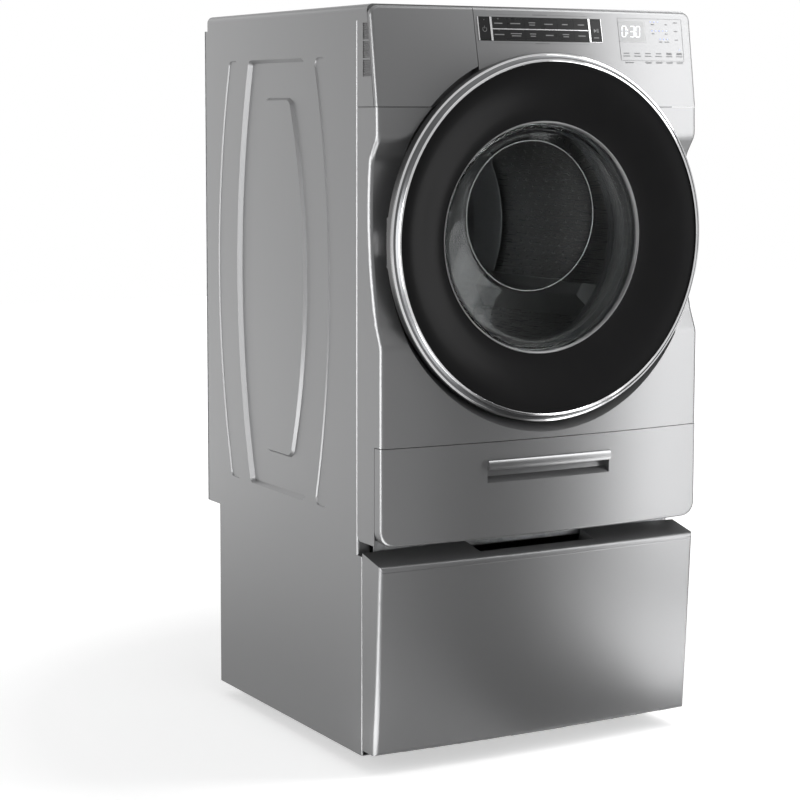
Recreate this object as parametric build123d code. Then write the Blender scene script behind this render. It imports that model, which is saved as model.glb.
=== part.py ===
"""Front load washing machine on a storage drawer pedestal, as separate pieces in millimetres.

The origin is on the floor under the middle of the machine, +Z is up and the front faces -Y.
Depths are measured back from the front face at its side edges, where the bowed panels end.
"""

from math import asin, cos, degrees, radians, sin, sqrt
import os

from build123d import *

# Drum and tub, which set the size of the cabinet
DRUM_R = 282.0
DRUM_LENGTH = 472.0
DRUM_WALL = 1.5
DRUM_MOUTH_R = 224.0
DRUM_LIP = 5.0
TUB_GAP = 14.0
TUB_WALL = 4.0
TUB_MOUTH_R = 215.0
TUB_COLLAR = 12.5
TUB_SPLIT = 268.0
TUB_FLANGE = 8.0
BACK_WALL = 6.0
SPIDER_DEPTH = 24.0
SPIDER_ARM = 46.0
TAIL_GAP = 7.0
HUB_R = 50.0
HUB_LENGTH = 54.0
RIBS = 16
RIB_DEEP = 16.0
SCREWS = 12
BAFFLE_HEIGHT = 56.0
BAFFLE_BASE = 74.0
BAFFLE_CREST = 26.0
BAFFLE_END_ROOM = 28.0
BAFFLE_COUNT = 3

# Drive
SHAFT_R = 15.0
SHAFT_TAIL_R = 12.5
BEARING_OUT_R = 31.0
BEARING_WIDTH = 16.0
TAIL_BEARING_OUT_R = 26.0
TAIL_BEARING_WIDTH = 15.0
RUNNING = 0.05
PULLEY_R = 150.0
PULLEY_WIDTH = 16.0
PULLEY_GAP = 6.0
PULLEY_RIM = 14.0
PULLEY_HUB_R = 28.0
PULLEY_WEB = 5.0
SPOKES = 6
BELT = 3.5
MOTOR_R = 68.0
MOTOR_LENGTH = 150.0
MOTOR_X = 60.0
MOTOR_DROP = 118.0
MOTOR_SHAFT_R = 6.0
MOTOR_PULLEY_R = 12.0

# Cabinet
SIDE_ROOM = 43.0
ROOM_BELOW = 266.0
HEADROOM = 115.0
REAR_ROOM = 22.8
REAR_PROUD = 46.2
SHEET = 1.2
PANEL_WALL = 2.0
BEND_R = 5.0
FLANGE = 25.0
SIDE_FRONT = 86.8
TOP_THICK = 28.5
TOP_EDGE_R = 12.0
TOP_CORNER_R = 15.0
TOP_NOSE = 52.0
NOSE_ROOM = 14.0
PRESS_R = 14.0
PRESS_TAPER = 40.0
CHANNEL_DEEP = 2.2
FIELD_DEEP = 8.0
MIDDLE_DEEP = 2.5
PRESS_FRONT = 152.0
PRESS_BACK = 670.0
PRESS_SWELL = 56.0
CHANNEL_WIDTH = 46.0
FIELD_INSET = 87.0
MIDDLE_INSET = 152.0
PRESS_LOW = 66.0
PRESS_HIGH = 61.0
MIDDLE_END = 79.0
SEAM_GAP = 1.2
CLEAR = 0.3

# Front face
BOW = 19.0
EDGE_R = 8.0
BULK_CLEAR = 27.0
BULK_HEIGHT = 176.3
BULK_RETURN = 23.0
BULK_CORNER_R = 27.0
LEG_ROUND = 14.0
OUTLINE_R = 6.0
CONSOLE_HEIGHT = 179.6
CONSOLE_DROP = 3.0
CONSOLE_LOW_EDGE = 14.7
CONSOLE_TOP_EDGE = 40.2
CONSOLE_LOW_BOW = 22.0
CONSOLE_TOP_BOW = 8.2
CONSOLE_CORNER_R = 16.0
CONSOLE_WALL = 3.0
VENTS = 3
VENT_DROP = 33.0
VENT_HEIGHT = 29.0
VENT_GAP = 3.0
VENT_DEEP = 2.0
VENT_BACK = 66.0
SCOOP_FOOT = 183.0
SCOOP_LIP = 144.0
SCOOP_LIP_DEPTH = 17.0
SCOOP_DEPTH = 41.0
SCOOP_HEAD = 145.0
SCOOP_HEAD_DEPTH = 38.0
LEDGE = 182.0
LEDGE_DEPTH = 13.0
FOOT_ROUND = 30.0
LIP_ROUND = 60.0
HEAD_ROUND = 40.0
LEDGE_ROUND = 30.0
RECESS_DEPTH = 44.0
RECESS_DRAFT = 30.0
PORT_R = 215.0
PORT_FLANGE = 16.0
GASKET_ROOM = 66.0
GASKET_WALL = 3.5

# Door
DOOR_MARGIN = 10.0
DOOR_PROUD = 27.0
DOOR_GAP = 5.0
RING_BAND = 16.0
RING_SLOPE = 12.0
RING_DEPTH = 14.0
RING_WALL = 4.0
LENS_WALL = 4.0
WINDOW_R = 207.0
WINDOW_DEPTH = 13.0
FRAME_R = 300.0
FRAME_IN_R = 211.0
FRAME_BACK = 36.0
FRAME_WALL = 3.0
BOWL_R = 203.0
BOWL_RIM = 18.0
BOWL_END_R = 142.0
BOWL_RISE = 38.0
BOWL_END = 62.0
BOWL_WALL = 5.0
HINGE_INSET = 24.0
HINGE_DEPTH = 9.0
PIN_R = 4.0
KNUCKLE_R = 7.0
KNUCKLE_LENGTH = 25.0
EYE_LENGTH = 38.0
ARM_REACH = 50.0
ARM_THICK = 8.0
LATCH_X = 262.0
LATCH_WIDTH = 10.0
LATCH_HEIGHT = 36.0
LATCH_REACH = 24.0

# Console
DRAWER_EDGE = -140.0
DRAWER_SEAM = 11.0
STRIP_HALF = 132.5
STRIP_LOW = 59.0
STRIP_HEIGHT = 43.0
KEY_WIDTH = 23.0
KEY_PROUD = 0.6
KEY_TRAVEL = 1.0
KEY_STEM_R = 3.0
CYCLE_COLUMNS = 6
CYCLE_ROWS = 2
KEY_RULE = 2.6
DISPLAY_LEFT = 171.0
DISPLAY_WIDTH = 150.0
DISPLAY_LOW = 94.0
DISPLAY_HEIGHT = 78.0
DISPLAY_CORNER_R = 4.0
BOARD_DEPTH = 62.0
BOARD_THICK = 1.6
STANDOFF_R = 4.0

# Dispenser
TRAY_LEFT = -306.0
TRAY_RIGHT = -160.0
TRAY_LOW = 109.0
TRAY_HEIGHT = 64.0
TRAY_LENGTH = 270.0
TRAY_WALL = 2.0
TRAY_PARTITION = -215.0
HOUSING_GAP = 2.0

# Bulk drawer
HANDLE_HALF = 132.5
HANDLE_TOP = 32.0
BAR_HEIGHT = 16.0
BAR_PROUD = 7.5
GRIP_HEIGHT = 26.0
GRIP_DEPTH = 18.0
TANK_LEFT = -285.0
TANK_RIGHT = 120.0
TANK_LENGTH = 304.0
TANK_LOW = 34.0
TANK_HEIGHT = 150.0
TANK_WALL = 2.5
CARRIER = 3.0
RUNNER_WIDTH = 16.0

# Suspension and water
COUNTER_DEPTH = 22.0
COUNTER_IN_R = 240.0
COUNTER_SPAN = 100.0
BALLAST_WIDTH = 220.0
BALLAST_LENGTH = 130.0
BALLAST_HEIGHT = 44.0
BRACE_HEIGHT = 30.0
BRACE_WIDTH = 40.0
SPRING_X = 250.0
SPRING_COIL_R = 15.0
SPRING_WIRE_R = 2.5
SPRING_TURNS = 7
DAMPER_X = 236.0
DAMPER_R = 15.0
ROD_R = 8.0
DAMPER_LENGTH = 165.0
DAMPER_FOOT = 18.0
SUSPENSION_DEPTH = 410.0
PAN = 1.6
SILL = 72.0
PUMP_X = 205.0
PUMP_DEPTH = 262.0
PUMP_R = 44.0
PUMP_HEIGHT = 92.0
SUMP_R = 21.0
SUMP_WALL = 3.0
SUMP_RIBS = 9
HOSE_R = 12.0
HOSE_X = 300.0
HOSE_BEND_R = 40.0
INLET_R = 13.3
INLET_LENGTH = 32.0
NECK_STEP = 1.5
INLET_FIRST_X = 110.0
INLET_PITCH = 70.0
VALVE_SIZE = 44.0
PORTS_DROP = 92.0
DRAIN_R = 15.0
DRAIN_LENGTH = 36.0
GLAND_X = -270.0
GLAND_R = 13.0
GLAND_LENGTH = 18.0
COVER_WIDTH = 470.0
COVER_HEIGHT = 600.0
COVER_R = 60.0
COVER_RIM = 18.0
COVER_TAPER = 24.0
SCREW_R = 5.0
SCREW_HEAD = 3.0

# Pedestal
PEDESTAL_HEIGHT = 394.0
PEDESTAL_BACK = 672.3
PEDESTAL_FRONT = 70.0
FOOT_HEIGHT = 27.0
FOOT_R = 24.0
FOOT_PAD = 11.0
FOOT_STEM_R = 6.0
FOOT_INSET = 115.0
SHELL_WALL = 1.5
SHELL_HEM = 3.0
HEM_DEPTH = 8.0
FRONT_BOW = 10.0
FRONT_TOP = 8.6
FRONT_TOP_DEPTH = 2.2
FRONT_LOW = 37.8
FRONT_LOW_DEPTH = 21.6
FRONT_RETURN = 68.0
FRONT_RAMP = 18.0
FRONT_WALL = 2.5
FRONT_EDGE_R = 8.0
LIP_HEIGHT = 9.0
LIP_GROOVE = 1.2
POCKET_HALF = 135.0
POCKET_TAPER = 22.0
POCKET_FROM = 20.0
POCKET_DEPTH = 34.0
RAIL_HEIGHT = 46.0
RAIL_DEPTH = 12.0
RAIL_WALL = 1.5
RAIL_GAP = 0.5
RAIL_FROM = 95.0
RAIL_LENGTH = 490.0
RAIL_Z = 170.0
BOX_HALF = 325.0
BOX_LOW = 62.0
BOX_HEIGHT = 262.0
BOX_LENGTH = 530.0
BOX_WALL = 1.2

# Worked out from the sizes above
TUB_R = DRUM_R + TUB_GAP + TUB_WALL
HALF = TUB_R + SIDE_ROOM
BASE_Z = PEDESTAL_HEIGHT
AXIS_Z = BASE_Z + ROOM_BELOW + TUB_R
TOP_Z = AXIS_Z + TUB_R + HEADROOM
TOP_SEAM = TOP_Z - TOP_THICK
TUB_FRONT = RECESS_DEPTH + PANEL_WALL + GASKET_ROOM
TUB_MIDDLE = TUB_FRONT + TUB_SPLIT
DRUM_FRONT = TUB_FRONT + TUB_WALL + DRUM_LIP + DRUM_LIP
DRUM_BACK = DRUM_FRONT + DRUM_LENGTH
SPIDER_BACK = DRUM_BACK + SPIDER_DEPTH
TUB_BACK = SPIDER_BACK + TAIL_GAP
HUB_BACK = TUB_BACK + HUB_LENGTH
PULLEY_FRONT = HUB_BACK + PULLEY_GAP
PULLEY_BACK = PULLEY_FRONT + PULLEY_WIDTH
CABINET_DEPTH = PULLEY_BACK + REAR_ROOM
FACE_Y = (DOOR_PROUD - CABINET_DEPTH - REAR_PROUD) / 2
BULK_LOW = BASE_Z + BULK_CLEAR
BULK_TOP = BULK_LOW + BULK_HEIGHT
CONSOLE_LOW = TOP_Z - CONSOLE_HEIGHT
CONSOLE_TOP = TOP_Z - CONSOLE_DROP
DOOR_R = HALF - DOOR_MARGIN
RECESS_R = DOOR_R + DOOR_GAP
BIG = 4 * HALF
AXIS = Axis((0, 0, AXIS_Z), (0, 1, 0))

parts = {}


def at(depth):
    """The Y place of a depth behind the front face."""
    return FACE_Y + depth


def block(x0, x1, d0, d1, z0, z1):
    """A box between two corners, with depths for Y."""
    return Pos((x0 + x1) / 2, at((d0 + d1) / 2), (z0 + z1) / 2) * Box(x1 - x0, d1 - d0, z1 - z0)


def disc(radius, d0, d1, x=0.0, z=AXIS_Z):
    """A cylinder that lies front to back."""
    return Pos(x, at((d0 + d1) / 2), z) * Rot(90, 0, 0) * Cylinder(radius, d1 - d0)


def post(radius, x, depth, z0, z1):
    """A cylinder that stands upright."""
    return Pos(x, at(depth), (z0 + z1) / 2) * Cylinder(radius, z1 - z0)


def spun(*profile):
    """A profile of radius and depth turned about the drum's axis."""
    outline = Polyline(*[(radius, at(depth)) for radius, depth in profile], close=True)
    return revolve(Pos(0, 0, AXIS_Z) * make_face(outline), AXIS, 360)


def both(solid):
    """A piece and its twin on the other side."""
    return solid + mirror(solid, Plane.YZ)


def bowed(profile, bow):
    """A section of depth and height swept along the bow of the front face."""
    radius = (HALF**2 + bow**2) / (2 * bow)
    axis = Axis((0, FACE_Y - bow + radius, 0), (0, 0, 1))
    swing = 2.2 * degrees(asin(HALF / (radius - 2 * SIDE_FRONT)))
    section = Plane.YZ * Pos(FACE_Y - bow, 0) * profile
    return revolve(section, axis, swing).rotate(axis, -swing / 2)


def polygon(*points):
    """A flat face with straight edges."""
    return make_face(Polyline(*points, close=True))


def near(corners, point):
    """The corner of a flat face nearest to a point."""
    return corners.sort_by_distance(Vector(*point, 0))[0]


# Side panels: one bent sheet each, with two long channels and a barrel field pressed inwards
def barrel(back_end, back_middle, front_end, front_middle, low, high, grow):
    """A field with upright sides that swell, on the plane of the side panel."""
    middle = (low + high) / 2
    back = ThreePointArc(
        (at(back_end) + grow, low - grow),
        (at(back_middle) + grow, middle),
        (at(back_end) + grow, high + grow),
    )
    front = ThreePointArc(
        (at(front_end) - grow, high + grow),
        (at(front_middle) - grow, middle),
        (at(front_end) - grow, low - grow),
    )
    outline = [back, Line(back @ 1, front @ 0), front, Line(front @ 1, back @ 0)]
    return fillet(make_face(outline).vertices(), PRESS_R)


def pressed(inset, low, high, deep, grow, width=None, taper=PRESS_TAPER):
    """The room that a pressing takes, inset from the rear and front edges of the pattern."""
    back = PRESS_BACK - inset
    front = PRESS_FRONT + inset
    if width is None:
        field = barrel(back - PRESS_SWELL, back, front + PRESS_SWELL, front, low, high, grow)
        fields = [field]
    else:
        fields = [
            barrel(back - PRESS_SWELL, back, back - PRESS_SWELL - width, back - width, low, high, grow),
            barrel(front + PRESS_SWELL + width, front + width, front + PRESS_SWELL, front, low, high, grow),
        ]
    room = Part()
    for field in fields:
        room += extrude(Plane.YZ.offset(-HALF) * field, deep + grow, taper=taper)
    return room


def pressing(grow):
    """Everything pressed into a side panel, thicker by the sheet for its inner skin."""
    low = BASE_Z + PRESS_LOW
    high = TOP_SEAM - PRESS_HIGH
    ends = (low + MIDDLE_END, high - MIDDLE_END)
    middle = pressed(MIDDLE_INSET, *ends, FIELD_DEEP + 2 * grow, -grow, taper=-PRESS_TAPER)
    raised = middle - block(-HALF - BIG, -HALF + MIDDLE_DEEP + grow, 0, BIG, 0, TOP_Z)
    field = pressed(FIELD_INSET, low, high, FIELD_DEEP, grow) - raised
    return field + pressed(0, low, high, CHANNEL_DEEP, grow, CHANNEL_WIDTH)


def bent_sheet(inset):
    """The U-shaped bend of a side panel, or the room inside it."""
    inner = -HALF + FLANGE if inset == 0 else HALF
    solid = block(-HALF + inset, inner, SIDE_FRONT + inset, CABINET_DEPTH - inset, BASE_Z, TOP_SEAM)
    corners = solid.edges().filter_by(Axis.Z).sort_by(Axis.X)[:2]
    return fillet(corners, BEND_R - inset)


side = bent_sheet(0) - bent_sheet(SHEET) + pressing(SHEET) - pressing(0)
parts["left_side_panel"] = side
parts["right_side_panel"] = mirror(side, Plane.YZ)


# Rear panel with the hole for its cover and the holes for the water and mains fittings
PORTS_Z = TOP_SEAM - PORTS_DROP
COVER_Z = AXIS_Z - HUB_R
INLETS = [INLET_FIRST_X, INLET_FIRST_X + INLET_PITCH]
rear_wall = CABINET_DEPTH + SHEET


def upright(shape, depth):
    """A flat shape stood up facing the back of the cabinet."""
    return Plane((0, at(depth), 0), x_dir=(-1, 0, 0), z_dir=(0, 1, 0)) * shape


def cover_outline(grow):
    """The rounded opening behind the drive."""
    shape = RectangleRounded(COVER_WIDTH + 2 * grow, COVER_HEIGHT + 2 * grow, COVER_R + grow)
    return Pos(0, COVER_Z) * shape


rear = block(-HALF, HALF, CABINET_DEPTH, rear_wall, BASE_Z, TOP_SEAM)
rear -= extrude(upright(cover_outline(-COVER_RIM), CABINET_DEPTH), SHEET)
for x in INLETS:
    rear -= disc(INLET_R + CLEAR, CABINET_DEPTH, rear_wall, x, PORTS_Z)
rear -= disc(DRAIN_R + CLEAR, CABINET_DEPTH, rear_wall, HOSE_X, PORTS_Z)
rear -= disc(GLAND_R + CLEAR, CABINET_DEPTH, rear_wall, GLAND_X, PORTS_Z)
parts["rear_panel"] = rear

# Rear access cover: a drawn dish with a screw flange
dish_deep = REAR_PROUD - SHEET - SHEET
dish = extrude(upright(cover_outline(-COVER_RIM), rear_wall + SHEET), dish_deep, taper=COVER_TAPER)
hollow = extrude(upright(cover_outline(-COVER_RIM - SHEET), rear_wall), dish_deep, taper=COVER_TAPER)
parts["rear_access_cover"] = extrude(upright(cover_outline(0), rear_wall), SHEET) + dish - hollow

# Base frame: a pan between the side panels with a front sill, tank runners and damper feet
PAN_TOP = BASE_Z + PAN
pan_half = HALF - SHEET
sill_half = HALF - FLANGE - CLEAR
tank_bottom = BASE_Z + TANK_LOW
pan_front = SIDE_FRONT + BEND_R
base = block(-pan_half, pan_half, pan_front, CABINET_DEPTH - BEND_R, BASE_Z, PAN_TOP)
base += block(-sill_half, sill_half, SILL, pan_front, BASE_Z, PAN_TOP)
base += block(-sill_half, sill_half, SILL, SILL + PAN, BASE_Z, BULK_LOW - SEAM_GAP)
for x in (TANK_LEFT + RUNNER_WIDTH, TANK_RIGHT - RUNNER_WIDTH):
    base += block(
        x - RUNNER_WIDTH / 2, x + RUNNER_WIDTH / 2,
        SILL, BULK_RETURN + TANK_LENGTH,
        BASE_Z, tank_bottom - CLEAR,
    )
damper_low = PAN_TOP + DAMPER_FOOT
base += both(
    block(
        DAMPER_X - DAMPER_R, DAMPER_X + DAMPER_R, SUSPENSION_DEPTH - DAMPER_R, SUSPENSION_DEPTH + DAMPER_R,
        BASE_Z, damper_low,
    )
)
parts["base_frame"] = base

# Top brace: a channel between the side panels that carries the springs
brace_low = TOP_SEAM - BRACE_HEIGHT
brace_half = HALF - SHEET
brace_front = SUSPENSION_DEPTH - BRACE_WIDTH / 2
brace_back = SUSPENSION_DEPTH + BRACE_WIDTH / 2
brace = block(-brace_half, brace_half, brace_front, brace_back, brace_low, TOP_SEAM)
brace -= block(-BIG, BIG, brace_front + SHEET, brace_back - SHEET, brace_low + SHEET, TOP_SEAM)
parts["top_brace"] = brace


# Front panel: a bowed sheet with a scooped flank each side and a round recess for the door
def chain(solid, half):
    """The upright edges where a bowed face meets its flat flanks."""
    flanks = [f for f in solid.faces().filter_by(Axis.X) if abs(abs(f.center().X) - half) < SHEET / 2]
    edges = ShapeList()
    for flank in flanks:
        free = [e for e in flank.edges() if e.center().Y < at(SIDE_FRONT) - EDGE_R]
        edges += [e for e in free if abs((e % 0.5).Y) < 0.97]
    return edges


def front_form(inset):
    """The outer form of the front panel, or the room behind it."""
    low = BULK_TOP + SEAM_GAP + inset
    high = CONSOLE_LOW - inset
    back = SIDE_FRONT if inset == 0 else SIDE_FRONT + SHEET + BOW
    foot = (inset, AXIS_Z - SCOOP_FOOT)
    lip = (SCOOP_LIP_DEPTH + inset, AXIS_Z - SCOOP_LIP)
    head = (SCOOP_HEAD_DEPTH + inset, AXIS_Z + SCOOP_HEAD)
    ledge = (LEDGE_DEPTH + inset, AXIS_Z + LEDGE)
    brow = (CONSOLE_LOW_EDGE + inset, high)
    scoop = ThreePointArc(lip, (SCOOP_DEPTH + inset, AXIS_Z), head)
    sides = [Line((inset, low), foot), Line(foot, lip), scoop, Line(head, ledge), Line(ledge, brow)]
    rim = BOW + back
    sides += [Polyline(brow, (rim, high), (rim, low), (inset, low))]
    profile = make_face(sides)
    for point, radius in ((foot, FOOT_ROUND), (lip, LIP_ROUND), (head, HEAD_ROUND), (ledge, LEDGE_ROUND)):
        profile = fillet(near(profile.vertices(), point), radius)
    half = HALF - inset
    solid = bowed(profile, BOW) & block(-half, half, -BIG, back, low - 1, high + 1)
    return fillet(chain(solid, half), EDGE_R - inset)


def recess_form(grow, floor):
    """The tapered round room for the door, or that room with its skin."""
    draft = RECESS_DRAFT / RECESS_DEPTH
    ahead = 3 * BOW
    mouth_r = RECESS_R + grow + draft * ahead
    floor_r = RECESS_R + grow - draft * floor
    return spun((0, -ahead), (mouth_r, -ahead), (floor_r, floor), (0, floor))


FLOOR_BACK = RECESS_DEPTH + PANEL_WALL
recess = recess_form(0, RECESS_DEPTH)
panel = front_form(0) - recess - (front_form(PANEL_WALL) - recess_form(PANEL_WALL, FLOOR_BACK))
panel += disc(RECESS_R - RECESS_DRAFT, RECESS_DEPTH, FLOOR_BACK)
panel += disc(PORT_R + PANEL_WALL, RECESS_DEPTH, RECESS_DEPTH + PORT_FLANGE)
panel -= disc(PORT_R, 0, SIDE_FRONT)
leg_top = BULK_TOP + 2 * PANEL_WALL
leg = block(HALF - PANEL_WALL, HALF, BULK_RETURN + SEAM_GAP, SIDE_FRONT, BULK_LOW, leg_top)
leg = fillet(leg.edges().filter_by(Axis.X).sort_by(Axis.Z)[:2].sort_by(Axis.Y)[-1:], LEG_ROUND)
panel += both(leg)
slot_half = LATCH_WIDTH / 2 + 4
panel -= block(
    LATCH_X - slot_half, LATCH_X + slot_half, RECESS_DEPTH - 1, FLOOR_BACK + 1,
    AXIS_Z - LATCH_HEIGHT / 2 - 4, AXIS_Z + LATCH_HEIGHT / 2 + 4,
)
parts["front_panel"] = panel


# Top panel: a shallow pressed lid on the side panels, whose front end laps over the console
def lid(inset, front, low):
    """The outer form of the lid, or the room inside it."""
    solid = block(-HALF + inset, HALF - inset, front, CABINET_DEPTH - inset, low, TOP_Z - inset)
    solid = fillet(solid.edges().filter_by(Axis.Z).sort_by(Axis.Y)[-2:], TOP_CORNER_R - inset)
    rim = [e for e in solid.faces().sort_by(Axis.Z)[-1].edges() if e.center().Y > at(front) + SHEET]
    return fillet(rim, TOP_EDGE_R - inset)


# Console: a leaning bowed fascia whose left part is the dispenser drawer's front
def console_form(inset):
    """The outer form of the console, or the room behind its skin, with its rounded top rear edge."""
    half = HALF - inset
    low = CONSOLE_LOW - BIG / 8 if inset > 0 else CONSOLE_LOW + SEAM_GAP
    high = CONSOLE_TOP - inset
    back = SIDE_FRONT - inset
    slope_edge = (CONSOLE_TOP_EDGE - CONSOLE_LOW_EDGE) / (CONSOLE_TOP - CONSOLE_LOW)
    slope_bow = (CONSOLE_TOP_BOW - CONSOLE_LOW_BOW) / (CONSOLE_TOP - CONSOLE_LOW)
    sections = []
    for z in (low, high):
        edge = at(CONSOLE_LOW_EDGE + slope_edge * (z - CONSOLE_LOW) + inset)
        bow = CONSOLE_LOW_BOW + slope_bow * (z - CONSOLE_LOW)
        face = ThreePointArc((-half, edge), (0, edge - bow), (half, edge))
        rest = Polyline((half, edge), (half, at(CABINET_DEPTH)), (-half, at(CABINET_DEPTH)), (-half, edge))
        sections.append(Pos(0, 0, z) * make_face([face, rest]))
    solid = loft(sections, ruled=True)
    solid = fillet(solid.edges().filter_by(Axis.Y).sort_by(Axis.Z)[-2:], CONSOLE_CORNER_R - inset)
    front = solid.faces().sort_by(Axis.Y)[0]
    solid = fillet([e for e in front.edges() if e.center().Z > low + 1], OUTLINE_R - inset)
    turn = high - TOP_SEAM
    bend = ThreePointArc(
        (at(back), TOP_SEAM),
        (at(back - turn + turn * cos(radians(45))), TOP_SEAM + turn * sin(radians(45))),
        (at(back - turn), high),
    )
    rest = Polyline(
        (at(back - turn), high), (at(-BIG), high), (at(-BIG), low), (at(back), low), (at(back), TOP_SEAM)
    )
    return solid & extrude(Plane.YZ * make_face([bend, rest]), HALF, both=True)


def drawer_slab(gap):
    """The part of the console in front of the dispenser drawer's seam."""
    slope = (CONSOLE_TOP_EDGE - CONSOLE_LOW_EDGE) / (CONSOLE_TOP - CONSOLE_LOW)
    low = CONSOLE_LOW - BOW
    high = TOP_Z + BOW
    seam = CONSOLE_LOW_EDGE + DRAWER_SEAM + gap
    section = polygon(
        (at(-BIG), low),
        (at(seam + slope * (low - CONSOLE_LOW)), low),
        (at(seam + slope * (high - CONSOLE_LOW)), high),
        (at(-BIG), high),
    )
    right = DRAWER_EDGE + gap
    return extrude(Plane.YZ.offset(right) * section, -(right + 2 * HALF))


fascia = console_form(0)
lid_room = lid(SHEET, SIDE_FRONT - NOSE_ROOM, TOP_SEAM - SHEET) - console_form(-SHEET)
parts["top_panel"] = lid(0, TOP_NOSE, TOP_SEAM) - fascia - lid_room
skin_room = console_form(CONSOLE_WALL) + block(
    -HALF + CONSOLE_WALL, HALF - CONSOLE_WALL, SIDE_FRONT - BEND_R, SIDE_FRONT, 0, TOP_SEAM - CONSOLE_WALL
)
tray_low = TOP_Z - TRAY_LOW
tray_high = tray_low + TRAY_HEIGHT
console = fascia - recess - (skin_room - recess_form(CONSOLE_WALL, RECESS_DEPTH - CLEAR))
console += fascia & (drawer_slab(SEAM_GAP + CONSOLE_WALL) - recess)
console += block(
    -HALF + SHEET, DRAWER_EDGE + SEAM_GAP + CONSOLE_WALL, SIDE_FRONT - CONSOLE_WALL, SIDE_FRONT,
    CONSOLE_LOW + SEAM_GAP, TOP_SEAM,
)
console -= drawer_slab(SEAM_GAP)
console -= block(
    TRAY_LEFT - HOUSING_GAP, TRAY_RIGHT + HOUSING_GAP, -BIG, SIDE_FRONT + 1,
    tray_low - HOUSING_GAP, tray_high + HOUSING_GAP,
)
for level in range(VENTS):
    vent_top = TOP_Z - VENT_DROP - level * (VENT_HEIGHT + VENT_GAP)
    vent = block(-HALF, -HALF + VENT_DEEP, 0, VENT_BACK, vent_top - VENT_HEIGHT, vent_top)
    console -= vent - drawer_slab(SEAM_GAP + CONSOLE_WALL / 2)
parts["dispenser_front"] = (fascia & drawer_slab(0)) - recess - disc(RECESS_R, 0, RECESS_DEPTH)


# Keys and display: plates let into the console that follow its curve
def plate(x0, x1, z0, z1, corner, proud, gap):
    """A plate of the console's skin between two upright edges and two heights."""
    width = x1 - x0 - 2 * gap
    height = z1 - z0 - 2 * gap
    shape = RectangleRounded(width, height, corner) if corner else Rectangle(width, height)
    face = Plane(((x0 + x1) / 2, at(BOARD_DEPTH), (z0 + z1) / 2), x_dir=(1, 0, 0), z_dir=(0, -1, 0)) * shape
    return Pos(0, -proud, 0) * (fascia_skin & extrude(face, BIG))


fascia_skin = fascia - skin_room
strip_top = CONSOLE_TOP - STRIP_LOW + STRIP_HEIGHT
strip_low = CONSOLE_TOP - STRIP_LOW
strip = plate(-STRIP_HALF, STRIP_HALF, strip_low, strip_top, 1.0, 0, 0)
console -= plate(-STRIP_HALF, STRIP_HALF, strip_low, strip_top, 0, 0, 0)
bezel = strip
keys_left = -STRIP_HALF + KEY_RULE
keys_right = STRIP_HALF - KEY_RULE
field_left = keys_left + KEY_WIDTH + KEY_RULE
field_right = keys_right - KEY_WIDTH + KEY_RULE
for name, x0 in (("power_key", keys_left), ("start_key", field_right)):
    x1 = x0 + KEY_WIDTH - KEY_RULE
    bezel -= plate(x0, x1, strip_low + KEY_RULE, strip_top - KEY_RULE, 0, 0, 0)
    stem = disc(KEY_STEM_R, 0, BOARD_DEPTH - KEY_TRAVEL, (x0 + x1) / 2, (strip_low + strip_top) / 2)
    stem = stem & skin_room
    key = plate(x0, x1, strip_low + KEY_RULE, strip_top - KEY_RULE, 1.0, KEY_PROUD, CLEAR)
    parts[name] = key + Pos(0, -KEY_PROUD, 0) * stem
pitch = (field_right - KEY_RULE - field_left) / CYCLE_COLUMNS
row = (STRIP_HEIGHT - KEY_RULE) / CYCLE_ROWS
cycle_keys = Part()
for column in range(CYCLE_COLUMNS):
    for level in range(CYCLE_ROWS):
        x0 = field_left + column * pitch
        z0 = strip_low + KEY_RULE + level * row
        spot = (x0, x0 + pitch - KEY_RULE / 4, z0, z0 + row - KEY_RULE)
        bezel -= plate(*spot, 0, 0, 0)
        cycle_keys += plate(*spot, 0, 0, CLEAR / 2)
parts["key_bezel"] = bezel
parts["cycle_keys"] = cycle_keys
display_low = TOP_Z - DISPLAY_LOW
display = (
    DISPLAY_LEFT, DISPLAY_LEFT + DISPLAY_WIDTH,
    display_low, display_low + DISPLAY_HEIGHT,
    DISPLAY_CORNER_R, 0, 0,
)
console -= plate(*display)
parts["display_window"] = plate(*display)

# Control board on standoffs behind the keys
board_low = strip_low + KEY_RULE
board_right = DISPLAY_LEFT + DISPLAY_WIDTH
standoffs = Part()
for x in (-STRIP_HALF + 2 * KEY_RULE, DISPLAY_LEFT - 3 * STANDOFF_R):
    for z in (strip_top + 2 * KEY_RULE, board_low - 2 * KEY_RULE):
        standoffs += disc(STANDOFF_R, 0, BOARD_DEPTH, x, z)
console += standoffs & skin_room
parts["console_panel"] = console
parts["control_board"] = block(
    -STRIP_HALF, board_right, BOARD_DEPTH, BOARD_DEPTH + BOARD_THICK,
    board_low - 4 * KEY_RULE, strip_top + 4 * KEY_RULE,
)

# Dispenser housing behind the console, and the tray that slides in it
housing_in = (TRAY_LEFT - HOUSING_GAP, TRAY_RIGHT + HOUSING_GAP)
housing_out = (housing_in[0] - TRAY_WALL, housing_in[1] + TRAY_WALL)
housing_back = SIDE_FRONT + TRAY_LENGTH
housing = block(
    *housing_out, SIDE_FRONT, housing_back,
    tray_low - CLEAR - TRAY_WALL, tray_high + HOUSING_GAP + TRAY_WALL,
)
housing -= block(
    *housing_in, SIDE_FRONT - 1, housing_back - TRAY_WALL, tray_low - CLEAR, tray_high + HOUSING_GAP
)
parts["dispenser_housing"] = housing
tray_back = housing_back - 2 * TRAY_WALL - HOUSING_GAP
tray = block(TRAY_LEFT, TRAY_RIGHT, -BOW, tray_back, tray_low, tray_high)
inner_low = tray_low + TRAY_WALL
inner_back = tray_back - TRAY_WALL
wash_room = (TRAY_LEFT + TRAY_WALL, TRAY_PARTITION)
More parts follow.
